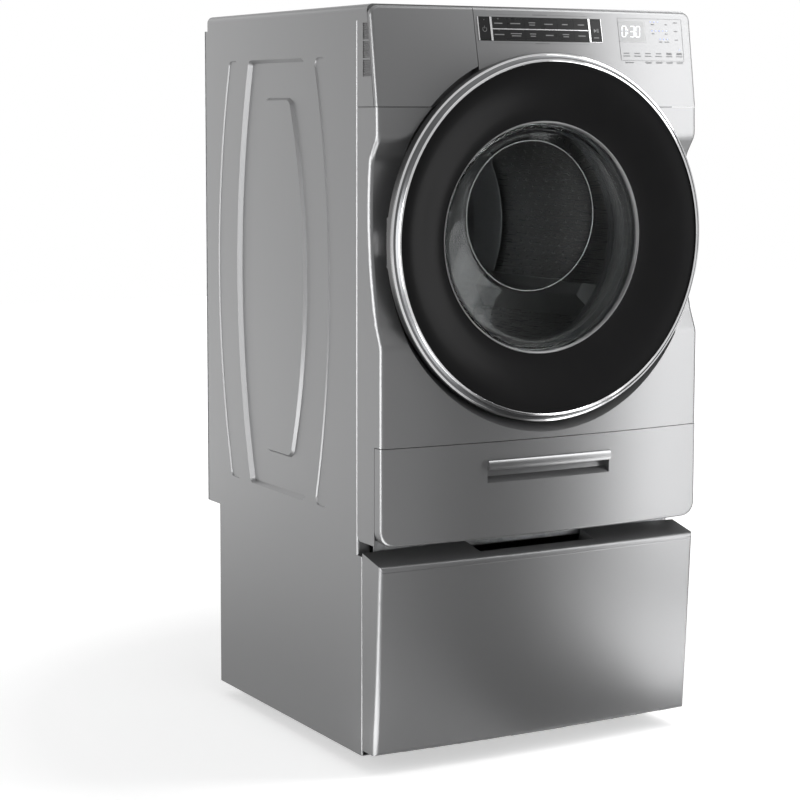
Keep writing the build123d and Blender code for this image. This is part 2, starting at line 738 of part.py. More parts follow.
prewash_room = (TRAY_PARTITION + TRAY_WALL, TRAY_RIGHT - TRAY_WALL)
for x0, x1 in (wash_room, prewash_room):
    tray -= block(x0, x1, -BOW, inner_back, inner_low, TOP_Z) - drawer_slab(TRAY_WALL)
parts["dispenser_tray"] = tray - drawer_slab(0)


# Bulk drawer: bowed front with a grip under a bar handle, and the tank behind it
def bulk_form(inset):
    """The outer form of the bulk drawer's front, or the room behind its skin."""
    low = BULK_LOW + inset
    high = BULK_TOP - inset
    back = BULK_RETURN if inset == 0 else BULK_RETURN + BOW
    half = HALF - inset
    profile = polygon((inset, low), (BOW + back, low), (BOW + back, high), (inset, high))
    solid = bowed(profile, BOW) & block(-half, half, -BIG, back, low - 1, high + 1)
    lower = solid.edges().filter_by(Axis.Y).sort_by(Axis.Z)[:2]
    solid = fillet(lower, BULK_CORNER_R - inset)
    front = solid.faces().sort_by(Axis.Y)[0]
    outline = [e for e in front.edges() if e.center().Z < high - 1]
    return fillet(outline, OUTLINE_R - inset)


bar_top = BULK_TOP - HANDLE_TOP
bar_low = bar_top - BAR_HEIGHT
grip_low = bar_low - GRIP_HEIGHT


def grip(grow):
    """The hollow under the handle, or that hollow with its skin."""
    section = polygon(
        (-BIG / 8, grip_low - grow),
        (grow, grip_low - grow),
        (GRIP_DEPTH * 0.8 + grow, grip_low + GRIP_HEIGHT * 0.4 - grow),
        (GRIP_DEPTH + grow, bar_low + grow),
        (-BIG / 8, bar_low + grow),
    )
    half = HANDLE_HALF + grow
    return bowed(section, BOW) & block(-half, half, -BIG, SIDE_FRONT, grip_low - BOW, bar_top)


skin = bulk_form(0) - (bulk_form(TANK_WALL) - grip(TANK_WALL))
parts["bulk_drawer_front"] = skin - grip(0)
bar = make_face(
    [
        Polyline(
            (-BAR_PROUD * 0.5, bar_top - 1), (0, bar_top), (0, bar_low), (-BAR_PROUD * 0.6, bar_low - 2)
        ),
        ThreePointArc(
            (-BAR_PROUD * 0.6, bar_low - 2),
            (-BAR_PROUD, (bar_low + bar_top) / 2),
            (-BAR_PROUD * 0.5, bar_top - 1),
        ),
    ]
)
parts["bulk_handle"] = bowed(bar, BOW) & block(
    -HANDLE_HALF, HANDLE_HALF, -BIG, SIDE_FRONT, bar_low - BOW, bar_top + 1
)
carrier_half = HALF - OUTLINE_R
carrier = block(
    -carrier_half, carrier_half,
    BULK_RETURN, BULK_RETURN + CARRIER,
    BULK_LOW + OUTLINE_R / 4, BULK_TOP - OUTLINE_R / 4,
)
carrier = fillet(carrier.edges().filter_by(Axis.Y).sort_by(Axis.Z)[:2], BULK_CORNER_R - OUTLINE_R / 2)
tank_back = BULK_RETURN + TANK_LENGTH
tank = block(TANK_LEFT, TANK_RIGHT, BULK_RETURN, tank_back, tank_bottom, tank_bottom + TANK_HEIGHT)
tank -= block(
    TANK_LEFT + TANK_WALL, TANK_RIGHT - TANK_WALL, BULK_RETURN + CARRIER, tank_back - TANK_WALL,
    tank_bottom + TANK_WALL, TOP_Z,
)
parts["bulk_tank"] = carrier + tank

# Tub in two halves with ribs, collars and lugs, joined at a screwed flange
flange_r = TUB_R + TUB_FLANGE
tub_in_r = TUB_R - TUB_WALL
collar_r = TUB_MOUTH_R + 2 * TUB_WALL
split = TUB_MIDDLE
parts["tub_front"] = spun(
    (TUB_MOUTH_R, TUB_FRONT - TUB_COLLAR),
    (collar_r, TUB_FRONT - TUB_COLLAR),
    (collar_r, TUB_FRONT),
    (TUB_R, TUB_FRONT),
    (TUB_R, split - TUB_FLANGE),
    (flange_r, split - TUB_FLANGE),
    (flange_r, split),
    (tub_in_r, split),
    (tub_in_r, TUB_FRONT + TUB_WALL),
    (TUB_MOUTH_R, TUB_FRONT + TUB_WALL),
)
tub_wall_back = TUB_BACK + BACK_WALL
tub = spun(
    (tub_in_r, split),
    (flange_r, split),
    (flange_r, split + TUB_FLANGE),
    (TUB_R, split + TUB_FLANGE),
    (TUB_R, tub_wall_back),
    (HUB_R, tub_wall_back),
    (HUB_R, HUB_BACK),
    (TAIL_BEARING_OUT_R, HUB_BACK),
    (TAIL_BEARING_OUT_R, HUB_BACK - TAIL_BEARING_WIDTH),
    (SHAFT_R + TUB_WALL, HUB_BACK - TAIL_BEARING_WIDTH),
    (SHAFT_R + TUB_WALL, TUB_BACK + BEARING_WIDTH),
    (BEARING_OUT_R, TUB_BACK + BEARING_WIDTH),
    (BEARING_OUT_R, TUB_BACK),
    (tub_in_r, TUB_BACK),
)
rib = block(
    (HUB_R + BEARING_OUT_R) / 2, TUB_R - TUB_WALL, tub_wall_back - 1, tub_wall_back + RIB_DEEP,
    AXIS_Z - TUB_WALL / 2, AXIS_Z + TUB_WALL / 2,
)
for count in range(RIBS):
    tub += rib.rotate(AXIS, 360 / RIBS * (count + 0.5))
core = disc(tub_in_r + TUB_WALL / 2, split, TUB_BACK)
lug_half = TUB_WALL * 2
spring_lug_z = AXIS_Z + sqrt(TUB_R**2 - (SPRING_X - SPRING_COIL_R) ** 2) + TUB_WALL / 2
damper_lug_z = AXIS_Z - sqrt(TUB_R**2 - (DAMPER_X - ROD_R) ** 2) - TUB_WALL / 2
lug_front = SUSPENSION_DEPTH - lug_half
lug_back = SUSPENSION_DEPTH + lug_half
spring_lug = block(
    SPRING_X - SPRING_COIL_R, SPRING_X + SPRING_COIL_R,
    lug_front, lug_back,
    AXIS_Z + TUB_R / 3, spring_lug_z,
)
damper_lug = block(
    DAMPER_X - DAMPER_R, DAMPER_X + DAMPER_R, lug_front, lug_back, damper_lug_z, AXIS_Z - TUB_R / 3
)
motor_z = AXIS_Z - TUB_R - MOTOR_DROP
motor_front = PULLEY_FRONT - PULLEY_WIDTH - MOTOR_LENGTH
cradle = block(
    MOTOR_X - MOTOR_R / 2, MOTOR_X + MOTOR_R / 2, TUB_BACK - MOTOR_LENGTH / 2, TUB_BACK,
    motor_z + MOTOR_R * 0.8, AXIS_Z - TUB_R / 2,
) - disc(MOTOR_R, motor_front, PULLEY_FRONT, MOTOR_X, motor_z)
tub += (both(spring_lug) + both(damper_lug) + cradle) - core
parts["tub_rear"] = tub

bolt_r = 3.0
bolt = disc(bolt_r * 2, split + TUB_FLANGE, split + TUB_FLANGE + bolt_r * 2, flange_r - bolt_r, AXIS_Z)
tub_screws = Part()
for count in range(SCREWS):
    tub_screws += bolt.rotate(AXIS, 360 / SCREWS * (count + 0.5)) - disc(TUB_R, split, TUB_BACK)
parts["tub_screws"] = tub_screws

# Counterweights: two cast arcs on the tub's front and a cast block on its top
arc_out_r = TUB_R - TUB_WALL
weight = spun(
    (COUNTER_IN_R, TUB_FRONT - COUNTER_DEPTH),
    (arc_out_r, TUB_FRONT - COUNTER_DEPTH),
    (arc_out_r, TUB_FRONT),
    (COUNTER_IN_R, TUB_FRONT),
)
reach = 2 * TUB_R
side_angle = radians(COUNTER_SPAN / 2)
wedge = Plane.XZ * polygon((0, 0), (reach * sin(side_angle), reach), (-reach * sin(side_angle), reach))
wedge = Pos(0, BIG / 2, AXIS_Z) * extrude(wedge, BIG)
upper = weight & wedge
parts["front_counterweight"] = upper + upper.rotate(AXIS, 180)
ballast_front = TUB_MIDDLE - TUB_FLANGE * 2 - BALLAST_LENGTH
ballast = block(
    -BALLAST_WIDTH / 2, BALLAST_WIDTH / 2, ballast_front, ballast_front + BALLAST_LENGTH,
    AXIS_Z + TUB_R * 0.8, AXIS_Z + TUB_R + BALLAST_HEIGHT,
)
ballast = fillet(ballast.edges().filter_by(Axis.Y).sort_by(Axis.Z)[-2:], BALLAST_HEIGHT / 4)
parts["top_counterweight"] = ballast - disc(TUB_R, 0, CABINET_DEPTH)

# Drum: a shell with a rolled lip, three baffles and a three-armed spider on its shaft
drum_in_r = DRUM_R - DRUM_WALL
parts["drum_shell"] = spun(
    (DRUM_MOUTH_R, DRUM_FRONT - DRUM_LIP),
    (DRUM_MOUTH_R + DRUM_WALL, DRUM_FRONT - DRUM_LIP),
    (DRUM_MOUTH_R + DRUM_LIP, DRUM_FRONT),
    (DRUM_R - DRUM_LIP, DRUM_FRONT),
    (DRUM_R, DRUM_FRONT + DRUM_LIP),
    (DRUM_R, DRUM_BACK),
    (0, DRUM_BACK),
    (0, DRUM_BACK - DRUM_WALL),
    (drum_in_r, DRUM_BACK - DRUM_WALL),
    (drum_in_r, DRUM_FRONT + DRUM_LIP),
    (drum_in_r - DRUM_LIP, DRUM_FRONT + DRUM_WALL),
    (DRUM_MOUTH_R, DRUM_FRONT + DRUM_WALL),
)
baffle_front = DRUM_FRONT + BAFFLE_END_ROOM
baffle_back = DRUM_BACK - BAFFLE_END_ROOM
foot_z = AXIS_Z - DRUM_R
crest_z = AXIS_Z - drum_in_r + BAFFLE_HEIGHT


def baffle_section(z, half, ends):
    """A level cut through a baffle."""
    length = baffle_back - baffle_front - 2 * ends
    return Pos(0, at((baffle_front + baffle_back) / 2), z) * Rectangle(2 * half, length)


baffle = loft(
    [
        baffle_section(foot_z, BAFFLE_BASE / 2, 0),
        baffle_section(crest_z, BAFFLE_CREST / 2, BAFFLE_HEIGHT / 2),
    ],
    ruled=True,
)
crest = baffle.faces().sort_by(Axis.Z)[-1]
baffle = fillet(crest.edges(), BAFFLE_CREST / 4) & disc(drum_in_r, 0, CABINET_DEPTH)
baffles = Part()
for count in range(BAFFLE_COUNT):
    baffles += baffle.rotate(AXIS, 360 / BAFFLE_COUNT * (count + 0.5))
parts["drum_baffles"] = baffles
shaft_step = TUB_BACK + BEARING_WIDTH
spider = spun(
    (0, DRUM_BACK),
    (HUB_R, DRUM_BACK),
    (HUB_R * 0.7, SPIDER_BACK),
    (SHAFT_R, SPIDER_BACK),
    (SHAFT_R, shaft_step),
    (SHAFT_TAIL_R, shaft_step),
    (SHAFT_TAIL_R, PULLEY_BACK + BEARING_WIDTH / 2),
    (0, PULLEY_BACK + BEARING_WIDTH / 2),
)
arm_section = polygon(
    (-SPIDER_ARM / 2, at(DRUM_BACK)),
    (SPIDER_ARM / 2, at(DRUM_BACK)),
    (SPIDER_ARM / 4, at(SPIDER_BACK - DRUM_LIP)),
    (-SPIDER_ARM / 4, at(SPIDER_BACK - DRUM_LIP)),
)
arm = extrude(Pos(0, 0, AXIS_Z) * arm_section, DRUM_R - DRUM_LIP)
for count in range(3):
    spider += arm.rotate(AXIS, 120 * count)
parts["drum_spider"] = spider


def bearing(bore, outer, d0, d1):
    """A plain ring that stands for a sealed ball bearing, with a groove in each face."""
    ring = disc(outer, d0, d1) - disc(bore + RUNNING, d0, d1)
    middle = (bore + outer) / 2
    groove = disc(middle + TUB_WALL / 2, d0, d0 + 1) - disc(middle - TUB_WALL / 2, d0, d0 + 1)
    return ring - groove


parts["shaft_bearings"] = bearing(SHAFT_R, BEARING_OUT_R, TUB_BACK, shaft_step) + bearing(
    SHAFT_TAIL_R, TAIL_BEARING_OUT_R, HUB_BACK - TAIL_BEARING_WIDTH, HUB_BACK
)
pulley_middle = (PULLEY_FRONT + PULLEY_BACK) / 2
pulley = spun(
    (SHAFT_TAIL_R, PULLEY_FRONT),
    (PULLEY_HUB_R, PULLEY_FRONT),
    (PULLEY_HUB_R, pulley_middle - PULLEY_WEB / 2),
    (PULLEY_R - PULLEY_RIM, pulley_middle - PULLEY_WEB / 2),
    (PULLEY_R - PULLEY_WEB, PULLEY_FRONT),
    (PULLEY_R, PULLEY_FRONT),
    (PULLEY_R, PULLEY_BACK),
    (PULLEY_R - PULLEY_WEB, PULLEY_BACK),
    (PULLEY_R - PULLEY_RIM, pulley_middle + PULLEY_WEB / 2),
    (PULLEY_HUB_R, pulley_middle + PULLEY_WEB / 2),
    (PULLEY_HUB_R, PULLEY_BACK),
    (SHAFT_TAIL_R, PULLEY_BACK),
)
window_r = (PULLEY_R - PULLEY_RIM - PULLEY_HUB_R) * 0.36
window_at = (PULLEY_R - PULLEY_RIM + PULLEY_HUB_R) / 2
opening = disc(window_r, PULLEY_FRONT, PULLEY_BACK, window_at, AXIS_Z)
for count in range(SPOKES):
    pulley -= opening.rotate(AXIS, 360 / SPOKES * count)
parts["drum_pulley"] = pulley

# Motor under the tub, its pulley and the belt round both pulleys
motor_back = motor_front + MOTOR_LENGTH
motor = disc(MOTOR_R, motor_front, motor_back, MOTOR_X, motor_z)
motor = fillet(motor.edges(), MOTOR_R / 8)
motor -= disc(MOTOR_SHAFT_R + RUNNING, motor_back - PULLEY_WIDTH, motor_back, MOTOR_X, motor_z)
parts["motor"] = motor
rotor = disc(MOTOR_PULLEY_R, PULLEY_FRONT, PULLEY_BACK, MOTOR_X, motor_z)
rotor += disc(MOTOR_PULLEY_R + BELT, PULLEY_FRONT - PULLEY_WEB / 2, PULLEY_FRONT, MOTOR_X, motor_z)
rotor += disc(MOTOR_SHAFT_R, motor_back - PULLEY_WIDTH + CLEAR, PULLEY_FRONT, MOTOR_X, motor_z)
parts["motor_pulley"] = rotor


def belt_loop(grow):
    """The outline of a belt round both pulleys."""
    big = Pos(0, AXIS_Z) * Circle(PULLEY_R + grow)
    small = Pos(-MOTOR_X, motor_z) * Circle(MOTOR_PULLEY_R + grow)
    return make_hull((big + small).edges())


belt = extrude(upright(belt_loop(CLEAR + BELT), PULLEY_FRONT + 1), PULLEY_WIDTH - 2)
parts["drive_belt"] = belt - extrude(upright(belt_loop(CLEAR), PULLEY_FRONT + 1), PULLEY_WIDTH - 2)

# Gasket: a folded bellows from the porthole to the tub's mouth
gasket_lip_r = PORT_R - GASKET_WALL / 2 - CLEAR
fold_r = PORT_R + 4 * GASKET_WALL
tub_collar_front = TUB_FRONT - TUB_COLLAR
fold = GASKET_ROOM / 6
bellows = Polyline(
    (gasket_lip_r - GASKET_WALL, at(FRAME_BACK + CLEAR + GASKET_WALL / 2)),
    (gasket_lip_r, at(RECESS_DEPTH)),
    (gasket_lip_r, at(RECESS_DEPTH + PORT_FLANGE + GASKET_WALL)),
    (fold_r, at(RECESS_DEPTH + PORT_FLANGE + GASKET_WALL + fold / 2)),
    (fold_r, at(RECESS_DEPTH + PORT_FLANGE + GASKET_WALL + fold)),
    (gasket_lip_r, at(tub_collar_front - GASKET_WALL * 2)),
    ((TUB_MOUTH_R + collar_r) / 2, at(tub_collar_front - GASKET_WALL)),
    ((TUB_MOUTH_R + collar_r) / 2, at(tub_collar_front - CLEAR)),
)
gasket = revolve(Pos(0, 0, AXIS_Z) * trace(bellows, GASKET_WALL), AXIS, 360)
parts["door_gasket"] = gasket & disc(TUB_R, FRAME_BACK + CLEAR, tub_collar_front - CLEAR)

# Springs from the brace to the tub, and dampers from the base to the tub
spring_low = spring_lug_z
spring_high = brace_low
spring_pitch = (spring_high - spring_low - 2 * SPRING_WIRE_R) / SPRING_TURNS
coil = Helix(spring_pitch, spring_pitch * SPRING_TURNS, SPRING_COIL_R - SPRING_WIRE_R)
wire = sweep((coil ^ 0) * Circle(SPRING_WIRE_R), path=coil)
spring = Pos(SPRING_X, at(SUSPENSION_DEPTH), spring_low + SPRING_WIRE_R) * wire
parts["suspension_springs"] = both(spring)
damper_high = damper_low + DAMPER_LENGTH
cylinder = post(DAMPER_R, DAMPER_X, SUSPENSION_DEPTH, damper_low, damper_high)
cylinder -= post(ROD_R + CLEAR, DAMPER_X, SUSPENSION_DEPTH, damper_low + DAMPER_R, damper_high)
parts["damper_cylinders"] = both(cylinder)
parts["damper_rods"] = both(
    post(ROD_R, DAMPER_X, SUSPENSION_DEPTH, damper_low + DAMPER_LENGTH / 2, damper_lug_z)
)

# Water: inlet valves, drain pump, sump hose, drain hose and the fittings in the rear panel
port_front = rear_wall + NECK_STEP
valves = Part()
for x in INLETS:
    valve = disc(INLET_R, port_front, port_front + INLET_LENGTH, x, PORTS_Z)
    valve += disc(INLET_R - NECK_STEP, CABINET_DEPTH, port_front, x, PORTS_Z)
    valve += block(
        x - VALVE_SIZE / 2, x + VALVE_SIZE / 2, CABINET_DEPTH - VALVE_SIZE, CABINET_DEPTH,
        PORTS_Z - VALVE_SIZE / 2, PORTS_Z + VALVE_SIZE / 2,
    )
    valves += valve - disc(INLET_R / 2, CABINET_DEPTH, port_front + INLET_LENGTH, x, PORTS_Z)
parts["inlet_valves"] = valves
hose_rear = CABINET_DEPTH - 2 * HOSE_R
drain = disc(DRAIN_R, port_front, port_front + DRAIN_LENGTH, HOSE_X, PORTS_Z)
drain += disc(DRAIN_R - NECK_STEP, hose_rear, port_front, HOSE_X, PORTS_Z)
drain += block(
    HOSE_X - DRAIN_R, HOSE_X + DRAIN_R,
    CABINET_DEPTH - 3 * DRAIN_R, CABINET_DEPTH,
    PORTS_Z - DRAIN_R, PORTS_Z + DRAIN_R,
)
parts["drain_port"] = drain - disc(DRAIN_R * 0.7, CABINET_DEPTH, port_front + DRAIN_LENGTH, HOSE_X, PORTS_Z)
gland = disc(GLAND_R, CABINET_DEPTH - GLAND_LENGTH, rear_wall + GLAND_LENGTH, GLAND_X, PORTS_Z)
gland += disc(GLAND_R * 1.5, CABINET_DEPTH - SHEET - GLAND_LENGTH / 4, CABINET_DEPTH, GLAND_X, PORTS_Z)
parts["cord_gland"] = gland - disc(GLAND_R * 0.4, CABINET_DEPTH, rear_wall + GLAND_LENGTH, GLAND_X, PORTS_Z)
pump_top = PAN_TOP + PUMP_HEIGHT
pump = post(PUMP_R, PUMP_X, PUMP_DEPTH, PAN_TOP, pump_top)
pump = fillet(pump.edges().sort_by(Axis.Z)[-1:], PUMP_R / 6)
pump += post(SUMP_R, PUMP_X, PUMP_DEPTH, PAN_TOP, pump_top + SUMP_R)
pump += block(
    PUMP_X, HOSE_X + HOSE_R,
    PUMP_DEPTH - HOSE_R, PUMP_DEPTH + HOSE_R,
    PAN_TOP, PAN_TOP + PUMP_HEIGHT / 2 + HOSE_R,
)
parts["drain_pump"] = pump
spigot_low = AXIS_Z - sqrt(TUB_R**2 - PUMP_X**2) - SUMP_R
spigot = post(SUMP_R, PUMP_X, PUMP_DEPTH, spigot_low, AXIS_Z - TUB_R / 3)
parts["tub_front"] += spigot - disc(TUB_R - TUB_WALL / 2, TUB_FRONT, split)
sump_low = pump_top + SUMP_R
sump_high = spigot_low - CLEAR
sump_pitch = (sump_high - sump_low) / SUMP_RIBS
sump_edge = []
for count in range(SUMP_RIBS):
    foot = sump_low + count * sump_pitch
    sump_edge += [(SUMP_R, foot), (SUMP_R + SUMP_WALL, foot + sump_pitch / 2)]
sump_edge += [(SUMP_R, sump_high), (SUMP_R - SUMP_WALL, sump_high), (SUMP_R - SUMP_WALL, sump_low)]
sump = revolve(Plane.XZ * polygon(*sump_edge), Axis.Z, 360)
parts["sump_hose"] = Pos(PUMP_X, at(PUMP_DEPTH), 0) * sump
hose_z = PAN_TOP + PUMP_HEIGHT / 2
hose_turn = at(CABINET_DEPTH - 3 * DRAIN_R / 2)
route = FilletPolyline(
    (HOSE_X, at(PUMP_DEPTH + HOSE_R), hose_z),
    (HOSE_X, hose_turn, hose_z),
    (HOSE_X, hose_turn, PORTS_Z - DRAIN_R),
    radius=HOSE_BEND_R,
)
hose_end = Plane(route @ 0, z_dir=route % 0)
parts["drain_hose"] = sweep(hose_end * (Circle(HOSE_R) - Circle(HOSE_R - SUMP_WALL)), path=route)

# Door: chrome trim ring, dark lens, black frame, glass bowl, hinge and latch
ring_in_r = DOOR_R - RING_BAND
ring_front = -DOOR_PROUD
ring_shoulder = ring_front + RING_SLOPE
ring_seat = ring_shoulder + RING_DEPTH / 3
parts["door_trim_ring"] = spun(
    (ring_in_r, ring_seat),
    (ring_in_r, ring_front + 1),
    (ring_in_r + 1, ring_front),
    (ring_in_r + 4, ring_front + 1),
    (ring_in_r + RING_BAND / 2, ring_front + RING_SLOPE * 0.62),
    (DOOR_R - 4, ring_shoulder - 2),
    (DOOR_R - 1, ring_shoulder - 1),
    (DOOR_R, ring_shoulder + 1),
    (DOOR_R, ring_shoulder + RING_DEPTH),
    (DOOR_R - RING_WALL, ring_shoulder + RING_DEPTH),
    (DOOR_R - RING_WALL, ring_seat),
)
lens_r = ring_in_r
lens_front = ring_front + RING_WALL
sag_r = (lens_r + WINDOW_R) / 2
sag = lens_front + (WINDOW_DEPTH - lens_front) * 0.44
front_arc = ThreePointArc((lens_r, at(lens_front)), (sag_r, at(sag)), (WINDOW_R, at(WINDOW_DEPTH)))
back_arc = ThreePointArc(
    (WINDOW_R, at(WINDOW_DEPTH + LENS_WALL)),
    (sag_r, at(sag + LENS_WALL)),
    (lens_r, at(lens_front + LENS_WALL)),
)
lens_back = WINDOW_DEPTH + LENS_WALL
lens_section = make_face(
    [
        front_arc,
        Polyline(
            (WINDOW_R, at(WINDOW_DEPTH)),
            (0, at(WINDOW_DEPTH)),
            (0, at(lens_back)),
            (WINDOW_R, at(lens_back)),
        ),
        back_arc,
        Line((lens_r, at(lens_front + LENS_WALL)), (lens_r, at(lens_front))),
    ]
)
lens = revolve(Pos(0, 0, AXIS_Z) * lens_section, AXIS, 360)
parts["door_lens"] = lens

hinge_x = -(HALF - HINGE_INSET)
frame = spun(
    (FRAME_R - FRAME_WALL, ring_seat),
    (DOOR_R - RING_WALL, ring_seat),
    (DOOR_R - RING_WALL, ring_seat + FRAME_WALL),
    (FRAME_R, ring_seat + FRAME_WALL),
    (FRAME_R, FRAME_BACK),
    (FRAME_IN_R, FRAME_BACK),
    (FRAME_IN_R, lens_back - LENS_WALL),
    (FRAME_IN_R + FRAME_WALL, lens_back - LENS_WALL),
    (FRAME_IN_R + FRAME_WALL, FRAME_BACK - FRAME_WALL),
    (FRAME_R - FRAME_WALL, FRAME_BACK - FRAME_WALL),
)
eye_half = EYE_LENGTH / 2
knuckle_low = eye_half + CLEAR
knuckle_high = knuckle_low + KNUCKLE_LENGTH
for sign in (-1, 1):
    z0, z1 = sorted((AXIS_Z + sign * knuckle_low, AXIS_Z + sign * knuckle_high))
    lug_end = -FRAME_R + 2 * FRAME_WALL
    lug = block(hinge_x, lug_end, HINGE_DEPTH - KNUCKLE_R, HINGE_DEPTH + KNUCKLE_R, z0, z1)
    frame += lug + post(KNUCKLE_R, hinge_x, HINGE_DEPTH, z0, z1)
room = ARM_THICK / 2 + 2
frame -= block(
    -HALF, hinge_x + ARM_REACH + 3 * ARM_THICK, HINGE_DEPTH - room, SIDE_FRONT,
    AXIS_Z - eye_half - CLEAR, AXIS_Z + eye_half + CLEAR,
)
frame -= post(PIN_R + RUNNING, hinge_x, HINGE_DEPTH, AXIS_Z - knuckle_high, AXIS_Z + knuckle_high)
parts["door_frame"] = frame - lens
parts["hinge_pin"] = post(PIN_R, hinge_x, HINGE_DEPTH, AXIS_Z - knuckle_high, AXIS_Z + knuckle_high)
bracket = post(KNUCKLE_R, hinge_x, HINGE_DEPTH, AXIS_Z - eye_half, AXIS_Z + eye_half)
leg_x = hinge_x + ARM_REACH
arm_front = HINGE_DEPTH - ARM_THICK / 2
bracket += block(
    hinge_x, leg_x + ARM_THICK, arm_front, arm_front + ARM_THICK, AXIS_Z - eye_half, AXIS_Z + eye_half
)
bracket += block(leg_x, leg_x + ARM_THICK, arm_front, RECESS_DEPTH, AXIS_Z - eye_half, AXIS_Z + eye_half)
bracket += block(
    leg_x, leg_x + 2 * ARM_THICK,
    FRAME_BACK + 4 * CLEAR + ARM_THICK / 4, RECESS_DEPTH,
    AXIS_Z - eye_half, AXIS_Z + eye_half,
)
bracket -= post(PIN_R + RUNNING, hinge_x, HINGE_DEPTH, AXIS_Z - eye_half, AXIS_Z + eye_half)
parts["hinge_bracket"] = bracket


def oblique(inset, d0, d1):
    """The bowl's leaning cone between two depths."""
    start = Plane((0, at(d0), AXIS_Z), x_dir=(1, 0, 0), z_dir=(0, 1, 0)) * Circle(BOWL_R - inset)
    rise = BOWL_RISE - inset / 4
    end = Plane((0, at(d1), AXIS_Z + rise), x_dir=(1, 0, 0), z_dir=(0, 1, 0))
    end = end * Circle(BOWL_END_R - inset / 2)
    return loft([start, end], ruled=True)


bowl_shoulder = lens_back + BOWL_RIM
bowl = disc(BOWL_R, lens_back, bowl_shoulder) + oblique(0, bowl_shoulder, BOWL_END)
bowl -= disc(BOWL_R - BOWL_WALL, lens_back, bowl_shoulder)
bowl -= oblique(BOWL_WALL, bowl_shoulder, BOWL_END - BOWL_WALL)
flange = disc(FRAME_IN_R - CLEAR, lens_back, lens_back + BOWL_WALL)
bowl += flange - disc(BOWL_R - BOWL_WALL / 2, 0, SIDE_FRONT)
parts["door_bowl"] = bowl
latch = block(
    LATCH_X - LATCH_WIDTH / 2, LATCH_X + LATCH_WIDTH / 2, FRAME_BACK, FRAME_BACK + LATCH_REACH,
    AXIS_Z - LATCH_HEIGHT / 2, AXIS_Z + LATCH_HEIGHT / 2,
)
latch -= block(
    LATCH_X - LATCH_WIDTH, LATCH_X + LATCH_WIDTH, FLOOR_BACK + 2, FRAME_BACK + LATCH_REACH - 5,
    AXIS_Z - LATCH_HEIGHT / 4, AXIS_Z + LATCH_HEIGHT / 4,
)
parts["latch_hook"] = latch
lock_half = slot_half + 8
lock = block(
    LATCH_X - lock_half, LATCH_X + lock_half, FLOOR_BACK, FRAME_BACK + LATCH_REACH + 10,
    AXIS_Z - LATCH_HEIGHT, AXIS_Z + LATCH_HEIGHT,
)
lock -= block(
    LATCH_X - slot_half, LATCH_X + slot_half, FLOOR_BACK, FRAME_BACK + LATCH_REACH + 4,
    AXIS_Z - LATCH_HEIGHT / 2 - 4, AXIS_Z + LATCH_HEIGHT / 2 + 4,
)
parts["door_lock"] = lock

# Pedestal: an open-fronted steel box on four feet, with a drawer on telescopic slides
shell = block(-HALF, HALF, PEDESTAL_FRONT, PEDESTAL_BACK, FOOT_HEIGHT, PEDESTAL_HEIGHT)
shell -= block(
    -HALF + SHELL_WALL, HALF - SHELL_WALL, 0, PEDESTAL_BACK - SHELL_WALL,
    FOOT_HEIGHT + SHELL_WALL, PEDESTAL_HEIGHT - SHELL_WALL,
)
hem_front = PEDESTAL_FRONT + HEM_DEPTH
shell += both(block(HALF - SHELL_HEM, HALF, PEDESTAL_FRONT, hem_front, FOOT_HEIGHT, PEDESTAL_HEIGHT))
corners = shell.edges().filter_by(Axis.Z).group_by(Axis.Y)[0].sort_by(Axis.X)
parts["pedestal_shell"] = fillet([corners[0], corners[-1]], 0.8 * SHELL_HEM)
foot_x = HALF - FOOT_INSET
feet = Part()
for depth in (PEDESTAL_FRONT + FOOT_INSET, PEDESTAL_BACK - FOOT_INSET):
    pad = post(FOOT_R, foot_x, depth, 0, FOOT_PAD)
    pad = fillet(pad.edges().sort_by(Axis.Z)[-1:], FOOT_PAD / 3)
    feet += both(pad + post(FOOT_STEM_R, foot_x, depth, FOOT_PAD, FOOT_HEIGHT))
parts["pedestal_feet"] = feet


def rail(web, depth, height, d0):
    """A C-shaped slide member, open towards the drawer."""
    low = RAIL_Z - height / 2
    high = RAIL_Z + height / 2
    member = block(web - depth, web, d0, d0 + RAIL_LENGTH, low, high)
    return member - block(
        web - BIG, web - RAIL_WALL, d0, d0 + RAIL_LENGTH, low + RAIL_WALL, high - RAIL_WALL
    )


step = RAIL_WALL + RAIL_GAP
outer_web = HALF - SHELL_WALL
inner_web = outer_web - 2 * step
parts["slide_outer_rails"] = both(rail(outer_web, RAIL_DEPTH, RAIL_HEIGHT, RAIL_FROM))
middle_rail = rail(outer_web - step, RAIL_DEPTH - step, RAIL_HEIGHT - 2 * step, RAIL_FROM)
parts["slide_middle_rails"] = both(middle_rail)
parts["slide_inner_rails"] = both(rail(inner_web, inner_web - BOX_HALF, RAIL_HEIGHT - 4 * step, RAIL_FROM))
box_top = BOX_LOW + BOX_HEIGHT
drawer_box = block(-BOX_HALF, BOX_HALF, FRONT_RETURN, FRONT_RETURN + BOX_LENGTH, BOX_LOW, box_top)
drawer_box -= block(
    -BOX_HALF + BOX_WALL, BOX_HALF - BOX_WALL,
    FRONT_RETURN + BOX_WALL, FRONT_RETURN + BOX_LENGTH - BOX_WALL,
    BOX_LOW + BOX_WALL, TOP_Z,
)
parts["pedestal_drawer_box"] = drawer_box


